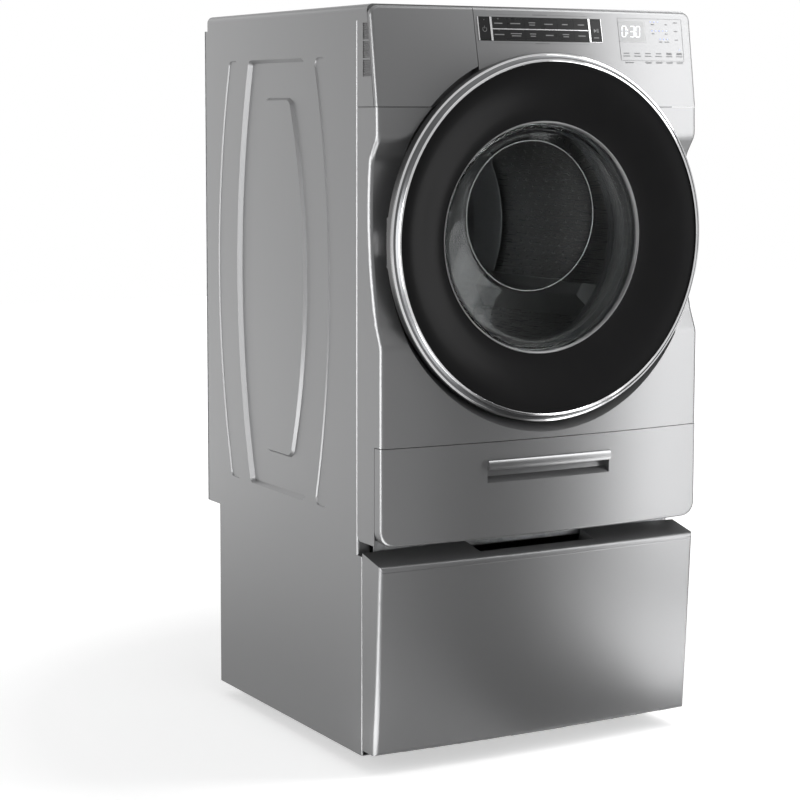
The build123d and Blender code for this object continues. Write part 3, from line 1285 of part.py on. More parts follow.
def drawer_form(inset):
    """The outer form of the pedestal drawer's front, or the room behind its skin."""
    low = FRONT_LOW + inset
    high = PEDESTAL_HEIGHT - FRONT_TOP - inset
    back = FRONT_RETURN if inset == 0 else FRONT_RETURN + BOW
    half = HALF - inset
    section = polygon(
        (FRONT_LOW_DEPTH + inset, low),
        (back + FRONT_BOW, low),
        (back + FRONT_BOW, high + FRONT_RAMP),
        (FRONT_TOP_DEPTH + inset, high),
    )
    solid = bowed(section, FRONT_BOW) & block(-half, half, -BIG, back, 0, PEDESTAL_HEIGHT + 2 * FRONT_RAMP)
    front = solid.faces().sort_by(Axis.Y)[0]
    return fillet(front.edges(), FRONT_EDGE_R - inset)


def pocket(grow):
    """The tapered finger pocket in the top of the drawer's front, or that pocket with its skin."""
    top = PEDESTAL_HEIGHT + 2 * FRONT_RAMP
    low = PEDESTAL_HEIGHT - FRONT_TOP - POCKET_DEPTH - grow
    half = POCKET_HALF + grow
    section = polygon((-half, top), (-half + POCKET_TAPER, low), (half - POCKET_TAPER, low), (half, top))
    column = Plane((0, at(POCKET_FROM - grow), 0), x_dir=(1, 0, 0), z_dir=(0, -1, 0)) * section
    return extrude(column, -(FRONT_RETURN - POCKET_FROM))


front = drawer_form(0) - (drawer_form(FRONT_WALL) - pocket(FRONT_WALL))
lip_low = PEDESTAL_HEIGHT - FRONT_TOP - LIP_HEIGHT
front_rise = lip_low + LIP_HEIGHT - FRONT_LOW
lip_depth = FRONT_TOP_DEPTH + (FRONT_LOW_DEPTH - FRONT_TOP_DEPTH) * LIP_HEIGHT / front_rise
groove = bowed(
    polygon(
        (-BOW, lip_low), (lip_depth + LIP_GROOVE, lip_low), (lip_depth, lip_low - 2 * LIP_GROOVE),
        (-BOW, lip_low - 2 * LIP_GROOVE),
    ),
    FRONT_BOW,
)
rib_x = POCKET_HALF + POCKET_TAPER
mounting_rib = block(rib_x, rib_x + POCKET_TAPER, 0, FRONT_RETURN, BOX_LOW, box_top)
mounting_rib = mounting_rib & drawer_form(0)
parts["pedestal_drawer_front"] = front - pocket(0) + both(mounting_rib) - groove

# Screws round the rear cover
screws = Part()
for x in (-COVER_WIDTH / 2 + COVER_RIM / 2, 0, COVER_WIDTH / 2 - COVER_RIM / 2):
    for sign in (-1, 1):
        edge = COVER_HEIGHT / 2 - (COVER_RIM / 2 if x == 0 else COVER_R * 0.8)
        screws += disc(SCREW_R, rear_wall + SHEET, rear_wall + SHEET + SCREW_HEAD, x, COVER_Z + sign * edge)
parts["cabinet_screws"] = screws

os.makedirs("parts", exist_ok=True)
for name, solid in parts.items():
    export_step(solid, f"parts/{name}.step")
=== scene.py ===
"""Front load washing machine on a storage drawer pedestal, dressed for a studio picture."""

import math

import bmesh
import bpy
from mathutils import Matrix, Vector


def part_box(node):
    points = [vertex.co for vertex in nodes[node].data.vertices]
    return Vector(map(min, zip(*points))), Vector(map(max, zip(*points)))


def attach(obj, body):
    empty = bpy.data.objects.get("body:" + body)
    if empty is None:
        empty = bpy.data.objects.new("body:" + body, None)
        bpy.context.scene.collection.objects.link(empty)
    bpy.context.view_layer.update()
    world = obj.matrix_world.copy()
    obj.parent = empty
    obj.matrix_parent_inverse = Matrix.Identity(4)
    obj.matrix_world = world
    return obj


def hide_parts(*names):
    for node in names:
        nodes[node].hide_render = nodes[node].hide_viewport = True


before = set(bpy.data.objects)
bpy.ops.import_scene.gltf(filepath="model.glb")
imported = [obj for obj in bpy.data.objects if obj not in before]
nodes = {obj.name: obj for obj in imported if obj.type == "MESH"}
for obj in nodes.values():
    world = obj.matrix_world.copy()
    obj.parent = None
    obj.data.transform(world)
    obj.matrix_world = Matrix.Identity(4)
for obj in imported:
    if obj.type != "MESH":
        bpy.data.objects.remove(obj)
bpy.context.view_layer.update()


# Pedestal: a folded steel box on four levelling feet, with a bowed drawer front. Shell and front are
# sprayed with a satin grey metallic lacquer, the same as the cabinet above, and the shell is
# screwed to the cabinet's base.
class Value:
    """A socket of a material, whose sums add Math nodes beside it."""

    def __init__(self, tree, socket):
        self.tree = tree
        self.socket = socket

    def node(self, kind, settings, sockets, output=0):
        made = self.tree.nodes.new(kind)
        for name, setting in settings.items():
            setattr(made, name, setting)
        for name, value in sockets.items():
            if isinstance(value, Value):
                self.tree.links.new(value.socket, made.inputs[name])
            else:
                made.inputs[name].default_value = value
        return Value(self.tree, made.outputs[output])

    def maths(self, operation, first, second=0.0):
        return self.node("ShaderNodeMath", {"operation": operation}, {0: first, 1: second})

    def __add__(self, other):
        return self.maths("ADD", self, other)

    def __sub__(self, other):
        return self.maths("SUBTRACT", self, other)

    def __rsub__(self, other):
        return self.maths("SUBTRACT", other, self)

    def __mul__(self, other):
        return self.maths("MULTIPLY", self, other)

    def __gt__(self, other):
        return self.maths("GREATER_THAN", self, other)

    def __lt__(self, other):
        return self.maths("LESS_THAN", self, other)

    __radd__ = __add__
    __rmul__ = __mul__


def finish(name, **sockets):
    """A material with these plain values, and the Object coordinates inside it."""
    material = bpy.data.materials.new(name)
    material.use_nodes = True
    shader = material.node_tree.nodes["Principled BSDF"]
    for socket, value in sockets.items():
        shader.inputs[socket.replace("_", " ")].default_value = value
    place = material.node_tree.nodes.new("ShaderNodeTexCoord")
    return material, Value(material.node_tree, place.outputs["Object"])


def feed(material, **sockets):
    """Links what changes over the surface to the material's shader."""
    shader = material.node_tree.nodes["Principled BSDF"]
    for socket, value in sockets.items():
        material.node_tree.links.new(value.socket, shader.inputs[socket.replace("_", " ")])


def grain(place, scale, detail=2.0, stretch=(1, 1, 1)):
    """Even noise from 0 to 1, drawn out along an axis where stretch is small."""
    spread = place.node("ShaderNodeMapping", {}, {"Vector": place, "Scale": stretch})
    return place.node("ShaderNodeTexNoise", {}, {"Vector": spread, "Scale": scale, "Detail": detail})


def tint(place, factor, low, high):
    """A colour between two others, of which the first may be such a mix itself."""
    colours = {0: factor, 6: low if isinstance(low, Value) else (*low, 1), 7: (*high, 1)}
    return place.node("ShaderNodeMix", {"data_type": "RGBA"}, colours, 2)


def relief(place, height, depth):
    """A bump of that depth in metres."""
    return place.node("ShaderNodeBump", {}, {"Strength": 1.0, "Distance": depth, "Height": height})


def dress(material, *names):
    """Gives CAD nodes a finish."""
    for name in names:
        nodes[name].data.materials.clear()
        nodes[name].data.materials.append(material)


def metallic_grey(name, cloud, ripple):
    """Satin grey with a fine flake, whose sheen clouds and whose skin ripples at these scales."""
    material, place = finish(name, Metallic=0.45, Specular_IOR_Level=0.5)
    flake = grain(place, 1400, 1)
    feed(
        material,
        Base_Color=tint(place, flake, (0.15, 0.151, 0.153), (0.174, 0.175, 0.177)),
        Roughness=0.29 + 0.04 * grain(place, cloud) + 0.04 * flake,
        Normal=relief(place, grain(place, ripple), 0.00002),
    )
    return material


lacquer = metallic_grey("satin_metallic_lacquer", cloud=3.5, ripple=320)
dress(lacquer, "pedestal_shell", "pedestal_drawer_front")
foot_rubber, place = finish("moulded_foot", Base_Color=(0.03, 0.03, 0.032, 1), Specular_IOR_Level=0.4)
feed(
    foot_rubber,
    Roughness=0.55 + 0.2 * grain(place, 60),
    Normal=relief(place, grain(place, 900), 0.0001),
)
dress(foot_rubber, "pedestal_feet")

# Pedestal drawer: a zinc-coated steel box on a pair of three-part telescopic slides. The coating
# shows its crystal spangle, and the slides are rolled from the same strip.
# Its grey is darker than bare zinc coating, partly painted shade that keeps the drawer's inside dark.
zinc, place = finish("zinc_sheet_with_painted_shade", Metallic=1.0)
spangle = place.node("ShaderNodeTexVoronoi", {}, {"Vector": place, "Scale": 110.0}, 1)
facet = place.node("ShaderNodeSeparateColor", {}, {"Color": spangle})
feed(
    zinc,
    Base_Color=tint(place, facet, (0.26, 0.265, 0.27), (0.34, 0.345, 0.35)),
    Roughness=0.34 + 0.16 * facet,
    Normal=relief(place, grain(place, 240), 0.00002),
)
dress(zinc, "pedestal_drawer_box", "slide_outer_rails", "slide_middle_rails", "slide_inner_rails")

# Cabinet: two side panels pressed with long channels and a raised field, lacquered outside, round a
# base pan, a rear panel with its screwed cover and a top brace, all of zinc-coated sheet.
dress(lacquer, "left_side_panel", "right_side_panel")
dress(zinc, "base_frame", "rear_panel", "rear_access_cover", "top_brace")
bright, place = finish("bright_steel", Metallic=1.0)
feed(
    bright,
    Base_Color=tint(place, grain(place, 500), (0.55, 0.55, 0.55), (0.68, 0.68, 0.68)),
    Roughness=0.22 + 0.16 * grain(place, 160),
)
dress(bright, "cabinet_screws", "tub_screws")

# Tub: two ribbed halves of filled polypropylene, screwed together round the drum, with cast
# weights bolted to its front and top.
tub_moulding, place = finish("tub_moulding", Specular_IOR_Level=0.4)
feed(
    tub_moulding,
    Base_Color=tint(place, grain(place, 14), (0.05, 0.05, 0.052), (0.075, 0.075, 0.077)),
    Roughness=0.45 + 0.15 * grain(place, 90),
    Normal=relief(place, grain(place, 700), 0.00005),
)
dress(tub_moulding, "tub_front", "tub_rear")
casting, place = finish("rough_casting", Specular_IOR_Level=0.3)
feed(
    casting,
    Base_Color=tint(place, grain(place, 120, 6), (0.16, 0.16, 0.16), (0.27, 0.27, 0.265)),
    Roughness=0.75 + 0.2 * grain(place, 300),
    Normal=relief(place, grain(place, 260, 6), 0.0008),
)
dress(casting, "front_counterweight", "top_counterweight")

# Drum: a rolled stainless sheet punched with rows of small holes, with a rolled lip at its mouth and
# three hollow baffles clipped inside. A cast spider carries it on the shaft.
AXIS_Z = 0.960
FACE_Y = -0.3735
DRUM_R = 0.282
DRUM_SHOULDER_R = 0.276
DRUM_MOUTH_R = 0.2245
DRUM_ROLL_R = 0.2285
DRUM_FRONT = FACE_Y + 0.126
DRUM_BACK = FACE_Y + 0.598
DRUM_LIP = 0.005
DRUM_SHEET = 0.0012
DRUM_COLUMNS = 108
DRUM_ROWS = 26
HOLE_MARGIN = 0.0052
BACK_PRESSING = 0.01
MERGE_REACH = 1e-6
ON_WALL = 0.001


def piece(name, shell, body, material, smooth=35):
    """A new piece made from a bmesh, riding on a body."""
    mesh = bpy.data.meshes.new(name)
    shell.to_mesh(mesh)
    shell.free()
    for face in mesh.polygons:
        face.use_smooth = True
    mesh.set_sharp_from_angle(angle=math.radians(smooth))
    made = bpy.data.objects.new(name, mesh)
    bpy.context.scene.collection.objects.link(made)
    mesh.materials.append(material)
    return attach(made, body)


def turn(shell, outline, steps, centre=(0, 0, AXIS_Z), axis=(0, 1, 0)):
    """Spins an outline of (radius, along the axis) points a full turn and closes its seam."""
    across = Vector((1, 0, 0))
    points = [shell.verts.new(Vector(centre) + across * r + Vector(axis) * t) for r, t in outline]
    edges = [shell.edges.new(pair) for pair in zip(points, points[1:])]
    bmesh.ops.spin(
        shell, geom=points + edges, cent=centre, axis=axis, angle=2 * math.pi, steps=steps, use_merge=True
    )
    bmesh.ops.remove_doubles(shell, verts=shell.verts, dist=MERGE_REACH)
    bmesh.ops.recalc_face_normals(shell, faces=shell.faces)


def soften(made, name, levels):
    """Rounds a piece by subdivision."""
    modifier = made.modifiers.new(name, "SUBSURF")
    modifier.levels = modifier.render_levels = levels


def thicken(made, thickness, offset=-1):
    """Gives a sheet its wall."""
    modifier = made.modifiers.new("wall", "SOLIDIFY")
    modifier.thickness = thickness
    modifier.offset = offset


drum = bmesh.new()
wall_start = DRUM_FRONT + DRUM_LIP
wall_length = DRUM_BACK - wall_start
pressed = DRUM_BACK - BACK_PRESSING
lip = [(DRUM_MOUTH_R, DRUM_FRONT - DRUM_LIP), (DRUM_ROLL_R, DRUM_FRONT), (DRUM_SHOULDER_R, DRUM_FRONT)]
rows = [(DRUM_R, wall_start + wall_length * step / DRUM_ROWS) for step in range(DRUM_ROWS + 1)]
back = [(0.27, DRUM_BACK), (0.2, DRUM_BACK), (0.19, pressed), (0.08, pressed)]
back += [(0.07, DRUM_BACK), (0.03, DRUM_BACK)]
turn(drum, lip + rows + back, DRUM_COLUMNS)
punched = []
for face in drum.faces:
    middle = face.calc_center_median()
    angle = math.atan2(middle.z - AXIS_Z, middle.x) % (2 * math.pi)
    column = int(angle / (2 * math.pi) * DRUM_COLUMNS)
    row = int((middle.y - wall_start) / wall_length * DRUM_ROWS)
    on_wall = abs(math.hypot(middle.x, middle.z - AXIS_Z) - DRUM_R) < ON_WALL
    if on_wall and 0 < row < DRUM_ROWS - 1 and (column + row) % 2 == 0:
        punched.append(face)
bmesh.ops.inset_individual(drum, faces=punched, thickness=HOLE_MARGIN, use_even_offset=True)
bmesh.ops.delete(drum, geom=punched, context="FACES")
# The stainless is a much darker grey than bare steel: painted shade for the dim inside of the drum.
stainless, place = finish("brushed_stainless_painted_shade", Metallic=1.0)
brushed = grain(place, 900, 3, (1, 0.02, 1))
feed(
    stainless,
    Base_Color=tint(place, brushed, (0.13, 0.13, 0.133), (0.21, 0.21, 0.213)),
    Roughness=0.22 + 0.14 * brushed,
)
drum_sheet = piece("perforated_drum", drum, "drum", stainless)
soften(drum_sheet, "rounded_holes", 1)
thicken(drum_sheet, DRUM_SHEET)
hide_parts("drum_shell")
baffle_moulding, place = finish("baffle_moulding", Specular_IOR_Level=0.45)
feed(
    baffle_moulding,
    Base_Color=tint(place, grain(place, 20), (0.1, 0.101, 0.103), (0.14, 0.141, 0.143)),
    Roughness=0.32 + 0.12 * grain(place, 120),
)
dress(baffle_moulding, "drum_baffles")
cast_alloy, place = finish("die_cast_alloy", Metallic=1.0)
feed(
    cast_alloy,
    Base_Color=tint(place, grain(place, 80, 5), (0.5, 0.51, 0.52), (0.64, 0.65, 0.66)),
    Roughness=0.42 + 0.18 * grain(place, 240),
    Normal=relief(place, grain(place, 600), 0.0001),
)
dress(cast_alloy, "drum_spider", "drum_pulley", "motor")
dress(bright, "shaft_bearings", "motor_pulley")

# Drive belt: a flat ribbed loop of rubber on cord, stretched round the drum's pulley and the motor's
# small one. Its inner face carries lengthwise ribs.
DRUM_AXIS = Vector((0, 0, AXIS_Z))
MOTOR_AXIS = Vector((0.060, 0, 0.542))
PULLEY_R = 0.1503
MOTOR_PULLEY_R = 0.0123
BELT_FRONT = FACE_Y + 0.690
BELT_WIDTH = 0.014
BELT_THICK = 0.0033
BELT_RIBS = 6
RIB_DEEP = 0.0012
PULLEY_STEPS = 72
MOTOR_PULLEY_STEPS = 24


def outward(angle):
    """The way from a pulley's axis to its rim."""
    return Vector((math.cos(angle), 0, math.sin(angle)))


def only(kinds, geometry):
    """The parts of these kinds in what an operator gave back."""
    return [part for part in geometry if isinstance(part, kinds)]


rib_pitch = BELT_WIDTH / BELT_RIBS
section = [(BELT_THICK, 0), (BELT_THICK, BELT_WIDTH)]
for rib in reversed(range(BELT_RIBS)):
    for height, share in ((RIB_DEEP, 0.9), (0.0, 0.5), (RIB_DEEP, 0.1)):
        section.append((height, rib_pitch * (rib + share)))
span = MOTOR_AXIS - DRUM_AXIS
swing = math.acos((PULLEY_R - MOTOR_PULLEY_R) / span.length)
heading = math.atan2(span.z, span.x)
arriving = outward(heading + swing)
leaving = outward(heading - swing)
belt = bmesh.new()
start = DRUM_AXIS + arriving * PULLEY_R
ring = [belt.verts.new(start + arriving * r + Vector((0, BELT_FRONT + t, 0))) for r, t in section]
loop = [belt.edges.new(pair) for pair in zip(ring, ring[1:] + ring[:1])]
round_drum = bmesh.ops.spin(
    belt,
    geom=ring + loop,
    cent=DRUM_AXIS,
    axis=(0, -1, 0),
    angle=2 * (math.pi - swing),
    steps=PULLEY_STEPS,
)["geom_last"]
run = bmesh.ops.extrude_edge_only(belt, edges=only(bmesh.types.BMEdge, round_drum))["geom"]
down = MOTOR_AXIS + leaving * MOTOR_PULLEY_R - (DRUM_AXIS + leaving * PULLEY_R)
bmesh.ops.translate(belt, verts=only(bmesh.types.BMVert, run), vec=down)
round_motor = bmesh.ops.spin(
    belt,
    geom=only((bmesh.types.BMVert, bmesh.types.BMEdge), run),
    cent=MOTOR_AXIS,
    axis=(0, -1, 0),
    angle=2 * swing,
    steps=MOTOR_PULLEY_STEPS,
)["geom_last"]
bmesh.ops.bridge_loops(belt, edges=loop + only(bmesh.types.BMEdge, round_motor))
bmesh.ops.recalc_face_normals(belt, faces=belt.faces)
rubber, place = finish("soft_rubber", Specular_IOR_Level=0.35)
feed(
    rubber,
    Base_Color=tint(place, grain(place, 40), (0.055, 0.055, 0.057), (0.08, 0.08, 0.082)),
    Roughness=0.5 + 0.2 * grain(place, 220),
    Normal=relief(place, grain(place, 1200), 0.00004),
)
drive_belt = piece("ribbed_belt", belt, "tub", rubber)
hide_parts("drive_belt")

# Water parts: the dispenser's tray and its housing, the tank for bulk detergent, the inlet valves and
# the drain fitting, all moulded in pale polypropylene.
pale_moulding, place = finish("pale_moulding", Specular_IOR_Level=0.4)
feed(
    pale_moulding,
    Base_Color=tint(place, grain(place, 14), (0.56, 0.57, 0.57), (0.64, 0.65, 0.65)),
    Roughness=0.45 + 0.15 * grain(place, 90),
    Normal=relief(place, grain(place, 700), 0.00005),
)
dress(pale_moulding, "dispenser_housing", "dispenser_tray", "bulk_tank", "drain_port", "inlet_valves")

# Suspension: two coil springs hung from the brace and two friction dampers between the base and the
# tub, with steel rods in plastic cylinders. Pump, gland and lock share the cylinders' black moulding.
dress(bright, "suspension_springs", "damper_rods")
black_moulding, place = finish("matt_black_moulding", Specular_IOR_Level=0.4)
feed(
    black_moulding,
    Base_Color=tint(place, grain(place, 60), (0.018, 0.018, 0.02), (0.03, 0.03, 0.032)),
    Roughness=0.42 + 0.16 * grain(place, 400),
    Normal=relief(place, grain(place, 1500), 0.00003),
)
dress(black_moulding, "damper_cylinders", "drain_pump", "cord_gland", "door_lock")

# Hoses: a short ribbed rubber bellows from the tub's sump down to the pump, and a plain hose that
# rises from the pump to the fitting in the rear panel.
SUMP_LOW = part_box("sump_hose")[0].z
SUMP_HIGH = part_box("sump_hose")[1].z
SUMP_AXIS = (0.205, FACE_Y + 0.262, 0)
SUMP_R = 0.0215
SUMP_SWELL = 0.0022
SUMP_NECK_R = 0.019
SUMP_WALL = 0.0025
SUMP_POINTS = 27
POINTS_PER_RIB = 3
SUMP_STEPS = 40
HOSE_R = 0.012
sump = bmesh.new()
corrugations = [(SUMP_NECK_R, SUMP_LOW)]
for point in range(SUMP_POINTS):
    swell = SUMP_R + SUMP_SWELL * math.sin(2 * math.pi * point / POINTS_PER_RIB)
    corrugations.append((swell, SUMP_LOW + (SUMP_HIGH - SUMP_LOW) * (point + 0.5) / SUMP_POINTS))
corrugations.append((SUMP_NECK_R, SUMP_HIGH))
turn(sump, corrugations, SUMP_STEPS, SUMP_AXIS, (0, 0, 1))
sump_hose = piece("ribbed_sump_hose", sump, "cabinet", rubber, 80)
thicken(sump_hose, SUMP_WALL)
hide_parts("sump_hose")
route = [
    (0.300, -0.0995, 0.4416),
    (0.300, 0.2518, 0.4416),
    (0.300, 0.3318, 0.4416),
    (0.300, 0.3318, 0.5216),
    (0.300, 0.3318, 1.2395),
]
line = bpy.data.curves.new("drain_hose_line", "CURVE")
line.dimensions = "3D"
spline = line.splines.new("NURBS")
spline.points.add(len(route) - 1)
for point, spot in zip(spline.points, route):
    point.co = (*spot, 1)
spline.order_u = 3
spline.use_endpoint_u = True
spline.resolution_u = 24
line.bevel_depth = HOSE_R
line.bevel_resolution = 6
line.use_fill_caps = True
line.materials.append(rubber)
drain_hose = bpy.data.objects.new("drain_hose_tube", line)
bpy.context.scene.collection.objects.link(drain_hose)
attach(drain_hose, "cabinet")
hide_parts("drain_hose")

# Front and top: one bowed steel pressing with a scooped flank each side, a round recess for the door
# and legs beside the lower drawer, and a flat top panel, both lacquered as the sides are.
dress(lacquer, "front_panel", "top_panel")

# Gasket: a soft grey bellows between the porthole and the tub's mouth, moulded with folds that let
# the tub move, and clamped at both ends.
GASKET_WALL = 0.003
GASKET_STEPS = 96
folds = [(0.2096, 0.0383), (0.2122, 0.0415), (0.2129, 0.046), (0.2129, 0.062), (0.2185, 0.0655)]
folds += [(0.2265, 0.068), (0.2285, 0.0715), (0.2265, 0.0755), (0.2185, 0.0795), (0.2135, 0.0855)]
folds += [(0.2135, 0.0915), (0.2165, 0.0955), (0.218, 0.0985)]
bellows = bmesh.new()
turn(bellows, [(r, FACE_Y + depth) for r, depth in folds], GASKET_STEPS)
gasket = piece("folded_gasket", bellows, "cabinet", rubber, 80)
soften(gasket, "soft_folds", 2)
thicken(gasket, GASKET_WALL, offset=0)
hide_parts("door_gasket")

# Console: a leaning, bowed moulding in metallic grey with a let-in display panel of the same colour.
# Its left part is the front of the dispenser drawer, and three stacks of louvres vent its left side.
CONSOLE_FOOT = 1.1954
CONSOLE_LEAN = 0.1444
LOUVRE_X = -0.3419
LOUVRE_TOP = 1.3408
LOUVRE_FRONT = FACE_Y + 0.029
LOUVRE_BACK = FACE_Y + 0.0655
LOUVRE_STACKS = 3
STACK_PITCH = 0.032
SLATS = 7
SLAT_PITCH = 0.004
SLAT_THICK = 0.0009
SLAT_TALL = 0.0034
SLAT_DROP = 0.0012
SLAT_TILT = 0.35
moulding = metallic_grey("metallic_moulding", cloud=4, ripple=420)
dress(moulding, "console_panel", "dispenser_front", "display_window")
louvres = bmesh.new()
for stack in range(LOUVRE_STACKS):
    for slat in range(SLATS):
        z = LOUVRE_TOP - STACK_PITCH * stack - SLAT_PITCH * slat
        front = LOUVRE_FRONT + CONSOLE_LEAN * (z - CONSOLE_FOOT)
        spot = Matrix.Translation((LOUVRE_X, (front + LOUVRE_BACK) / 2, z - SLAT_DROP))
        shape = Matrix.Diagonal((SLAT_THICK, LOUVRE_BACK - front, SLAT_TALL, 1))
        bmesh.ops.create_cube(louvres, size=1, matrix=spot @ Matrix.Rotation(SLAT_TILT, 4, "Y") @ shape)
louvre_moulding, place = finish("louvre_moulding", Specular_IOR_Level=0.4)
feed(
    louvre_moulding,
    Base_Color=tint(place, grain(place, 60), (0.085, 0.085, 0.087), (0.11, 0.11, 0.112)),
    Roughness=0.4 + 0.15 * grain(place, 300),
)
piece("vent_louvres", louvres, "cabinet", louvre_moulding)
circuit, place = finish("solder_mask", Specular_IOR_Level=0.5)
feed(
    circuit,
    Base_Color=tint(place, grain(place, 300), (0.02, 0.12, 0.05), (0.04, 0.2, 0.09)),
    Roughness=0.3 + 0.2 * grain(place, 500),
)
dress(circuit, "control_board")

# Keys: a strip of gloss black touch pads with silver rules between them, a power key at its left and
# a start key at its right. Plain marks are printed on them in pale grey.
UPRIGHT = Matrix.Rotation(math.pi / 2, 4, "X")
BAR_CUT = 0.008
STRIP = (1.3095, 1.362)
STRIP_LINED = (1.3092, 1.362)
STRIP_MID = 1.3345
STRIP_TALL = 0.0425
STRIP_END = 0.132
PADS_END = 0.1054
PAD_FIRST = -0.0895
PAD_PITCH = 0.0355
PAD_ROWS = (1.3245, 1.3445)
LABELS = ((0.020, 0.023, 0.013, 0.0165, 0.014, 0.016), (0.017, 0.021, 0.014, 0.018, 0.012, 0.014))
TWO_LINE_LABELS = ((1, 0), (2, 0), (4, 0), (2, 1))
SECOND_LINE = 0.85
LINE_STEP = 0.002
LINE_TALL = 0.0016
LABEL_TALL = 0.0018
POWER = Vector((-0.1192, 0, 1.3335))
POWER_RING = (0.0036, 0.0044)
POWER_GAP = math.radians(35)
START_X = 0.1192
START_ARROW_R = 0.0042
gloss, place = finish("gloss_black", Specular_IOR_Level=0.12)
feed(
    gloss,
    Base_Color=tint(place, grain(place, 90), (0.014, 0.014, 0.0145), (0.02, 0.02, 0.0205)),
    Roughness=0.24 + 0.1 * grain(place, 30),
)
dress(gloss, "key_bezel", "cycle_keys", "power_key", "start_key")


def fascia(x, z, low, high):
    """Where the console's face lies, from the bare face under and over that place."""
    under = nodes["console_panel"].ray_cast((x, -1, low), (0, 1, 0))[1].y
    over = nodes["console_panel"].ray_cast((x, -1, high), (0, 1, 0))[1].y
    return under + (over - under) * (z - low) / (high - low)


def bar(shell, x, z, width, height, lean=0.0):
    """A flat printed bar in the upright plane, with cuts that let it follow a bowed face."""
    turned = UPRIGHT @ Matrix.Rotation(-lean, 4, "Z")
    shape = Matrix.Translation((x, 0, z)) @ turned @ Matrix.Diagonal((width, height, 1, 1))
    cuts = max(1, round(width / BAR_CUT))
    bmesh.ops.create_grid(shell, x_segments=cuts, y_segments=1, size=0.5, matrix=shape)


def dot(shell, x, z, radius, corners=14):
    """A flat printed dot."""
    shape = Matrix.Translation((x, 0, z)) @ UPRIGHT
    bmesh.ops.create_circle(shell, cap_ends=True, radius=radius, segments=corners, matrix=shape)


def lay(shell, low, high, proud, thick=0.0003):
    """Sets flat marks on the console's face and gives them the body of a print or a thin rule."""
    for vert in shell.verts:
        vert.co.y = fascia(vert.co.x, vert.co.z, low, high) - proud
    bmesh.ops.recalc_face_normals(shell, faces=shell.faces)
    bmesh.ops.solidify(shell, geom=shell.faces[:], thickness=thick)


print_grey, place = finish("pale_print", Specular_IOR_Level=0.3)
feed(
    print_grey,
    Base_Color=tint(place, grain(place, 800), (0.16, 0.16, 0.163), (0.22, 0.22, 0.223)),
    Roughness=0.5 + 0.1 * grain(place, 900),
)
labels = bmesh.new()
for row, z in enumerate(PAD_ROWS):
    for column, length in enumerate(LABELS[row]):
        x = PAD_FIRST + PAD_PITCH * column
        if (column, row) in TWO_LINE_LABELS:
            bar(labels, x, z + LINE_STEP, length, LINE_TALL)
            bar(labels, x, z - LINE_STEP, length * SECOND_LINE, LINE_TALL)
        else:
            bar(labels, x, z, length, LABEL_TALL)
for z, radius in ((1.3525, 0.0011), (1.3325, 0.0009)):
    dot(labels, PAD_FIRST, z, radius)
lay(labels, *STRIP, proud=0.0002)
piece("cycle_marks", labels, "cabinet", print_grey)
silver, place = finish("silver_rule", Metallic=1.0)
feed(
    silver,
    Base_Color=tint(place, grain(place, 300), (0.4, 0.4, 0.405), (0.5, 0.5, 0.505)),
    Roughness=0.2 + 0.1 * grain(place, 200),
)
rules = bmesh.new()
for x, width in ((-PADS_END, 0.0042), (PADS_END, 0.0042), (-STRIP_END, 0.0024), (STRIP_END, 0.0008)):
    bar(rules, x, STRIP_MID, width, STRIP_TALL)
for x, z, width, height in ((0, STRIP_MID, 0.2055, 0.0016), (0.119, 1.3136, 0.0245, 0.0007)):
    bar(rules, x, z, width, height)
lay(rules, *STRIP, proud=0.0004, thick=0.0006)
piece("strip_rules", rules, "cabinet", silver)
power_mark = bmesh.new()
gap_side = Vector((math.sin(POWER_GAP), 0, math.cos(POWER_GAP)))
ends = [power_mark.verts.new(POWER + gap_side * r) for r in POWER_RING]
stroke = power_mark.edges.new(ends)
bmesh.ops.spin(
    power_mark,
    geom=[*ends, stroke],
    cent=POWER,
    axis=(0, 1, 0),
    angle=2 * (math.pi - POWER_GAP),
    steps=28,
)
bar(power_mark, POWER.x, POWER.z + POWER_RING[0], 0.0009, 0.0048)
dot(power_mark, POWER.x, 1.3505, 0.0008)
lay(power_mark, *STRIP, proud=0.0008)
piece("power_mark", power_mark, "power_button", print_grey)
start_mark = bmesh.new()
pointed = UPRIGHT @ Matrix.Rotation(-math.pi / 2, 4, "Z")
arrow = Matrix.Translation((START_X - 0.002, 0, STRIP_MID)) @ pointed
bmesh.ops.create_circle(start_mark, cap_ends=True, radius=START_ARROW_R, segments=3, matrix=arrow)
for x in (START_X + 0.003, START_X + 0.0053):
    bar(start_mark, x, STRIP_MID, 0.0012, 0.0068)
bar(start_mark, START_X, 1.3215, 0.0115, LABEL_TALL)
lay(start_mark, *STRIP, proud=0.0008)
piece("start_mark", start_mark, "start_button", print_grey)
ink, place = finish("grey_ink", Specular_IOR_Level=0.3)
feed(
    ink,
    Base_Color=tint(place, grain(place, 700), (0.09, 0.09, 0.092), (0.13, 0.13, 0.132)),
    Roughness=0.5 + 0.1 * grain(place, 900),
)
lines = bmesh.new()
for z in (1.3605, 1.3095):
    for x, width, height in ((-0.062, 0.083, 0.0005), (0.062, 0.083, 0.0005), (0, 0.032, 0.0017)):
        bar(lines, x, z, width, height)
lay(lines, *STRIP_LINED, proud=0.0001, thick=0.0002)
piece("strip_lines", lines, "cabinet", ink)

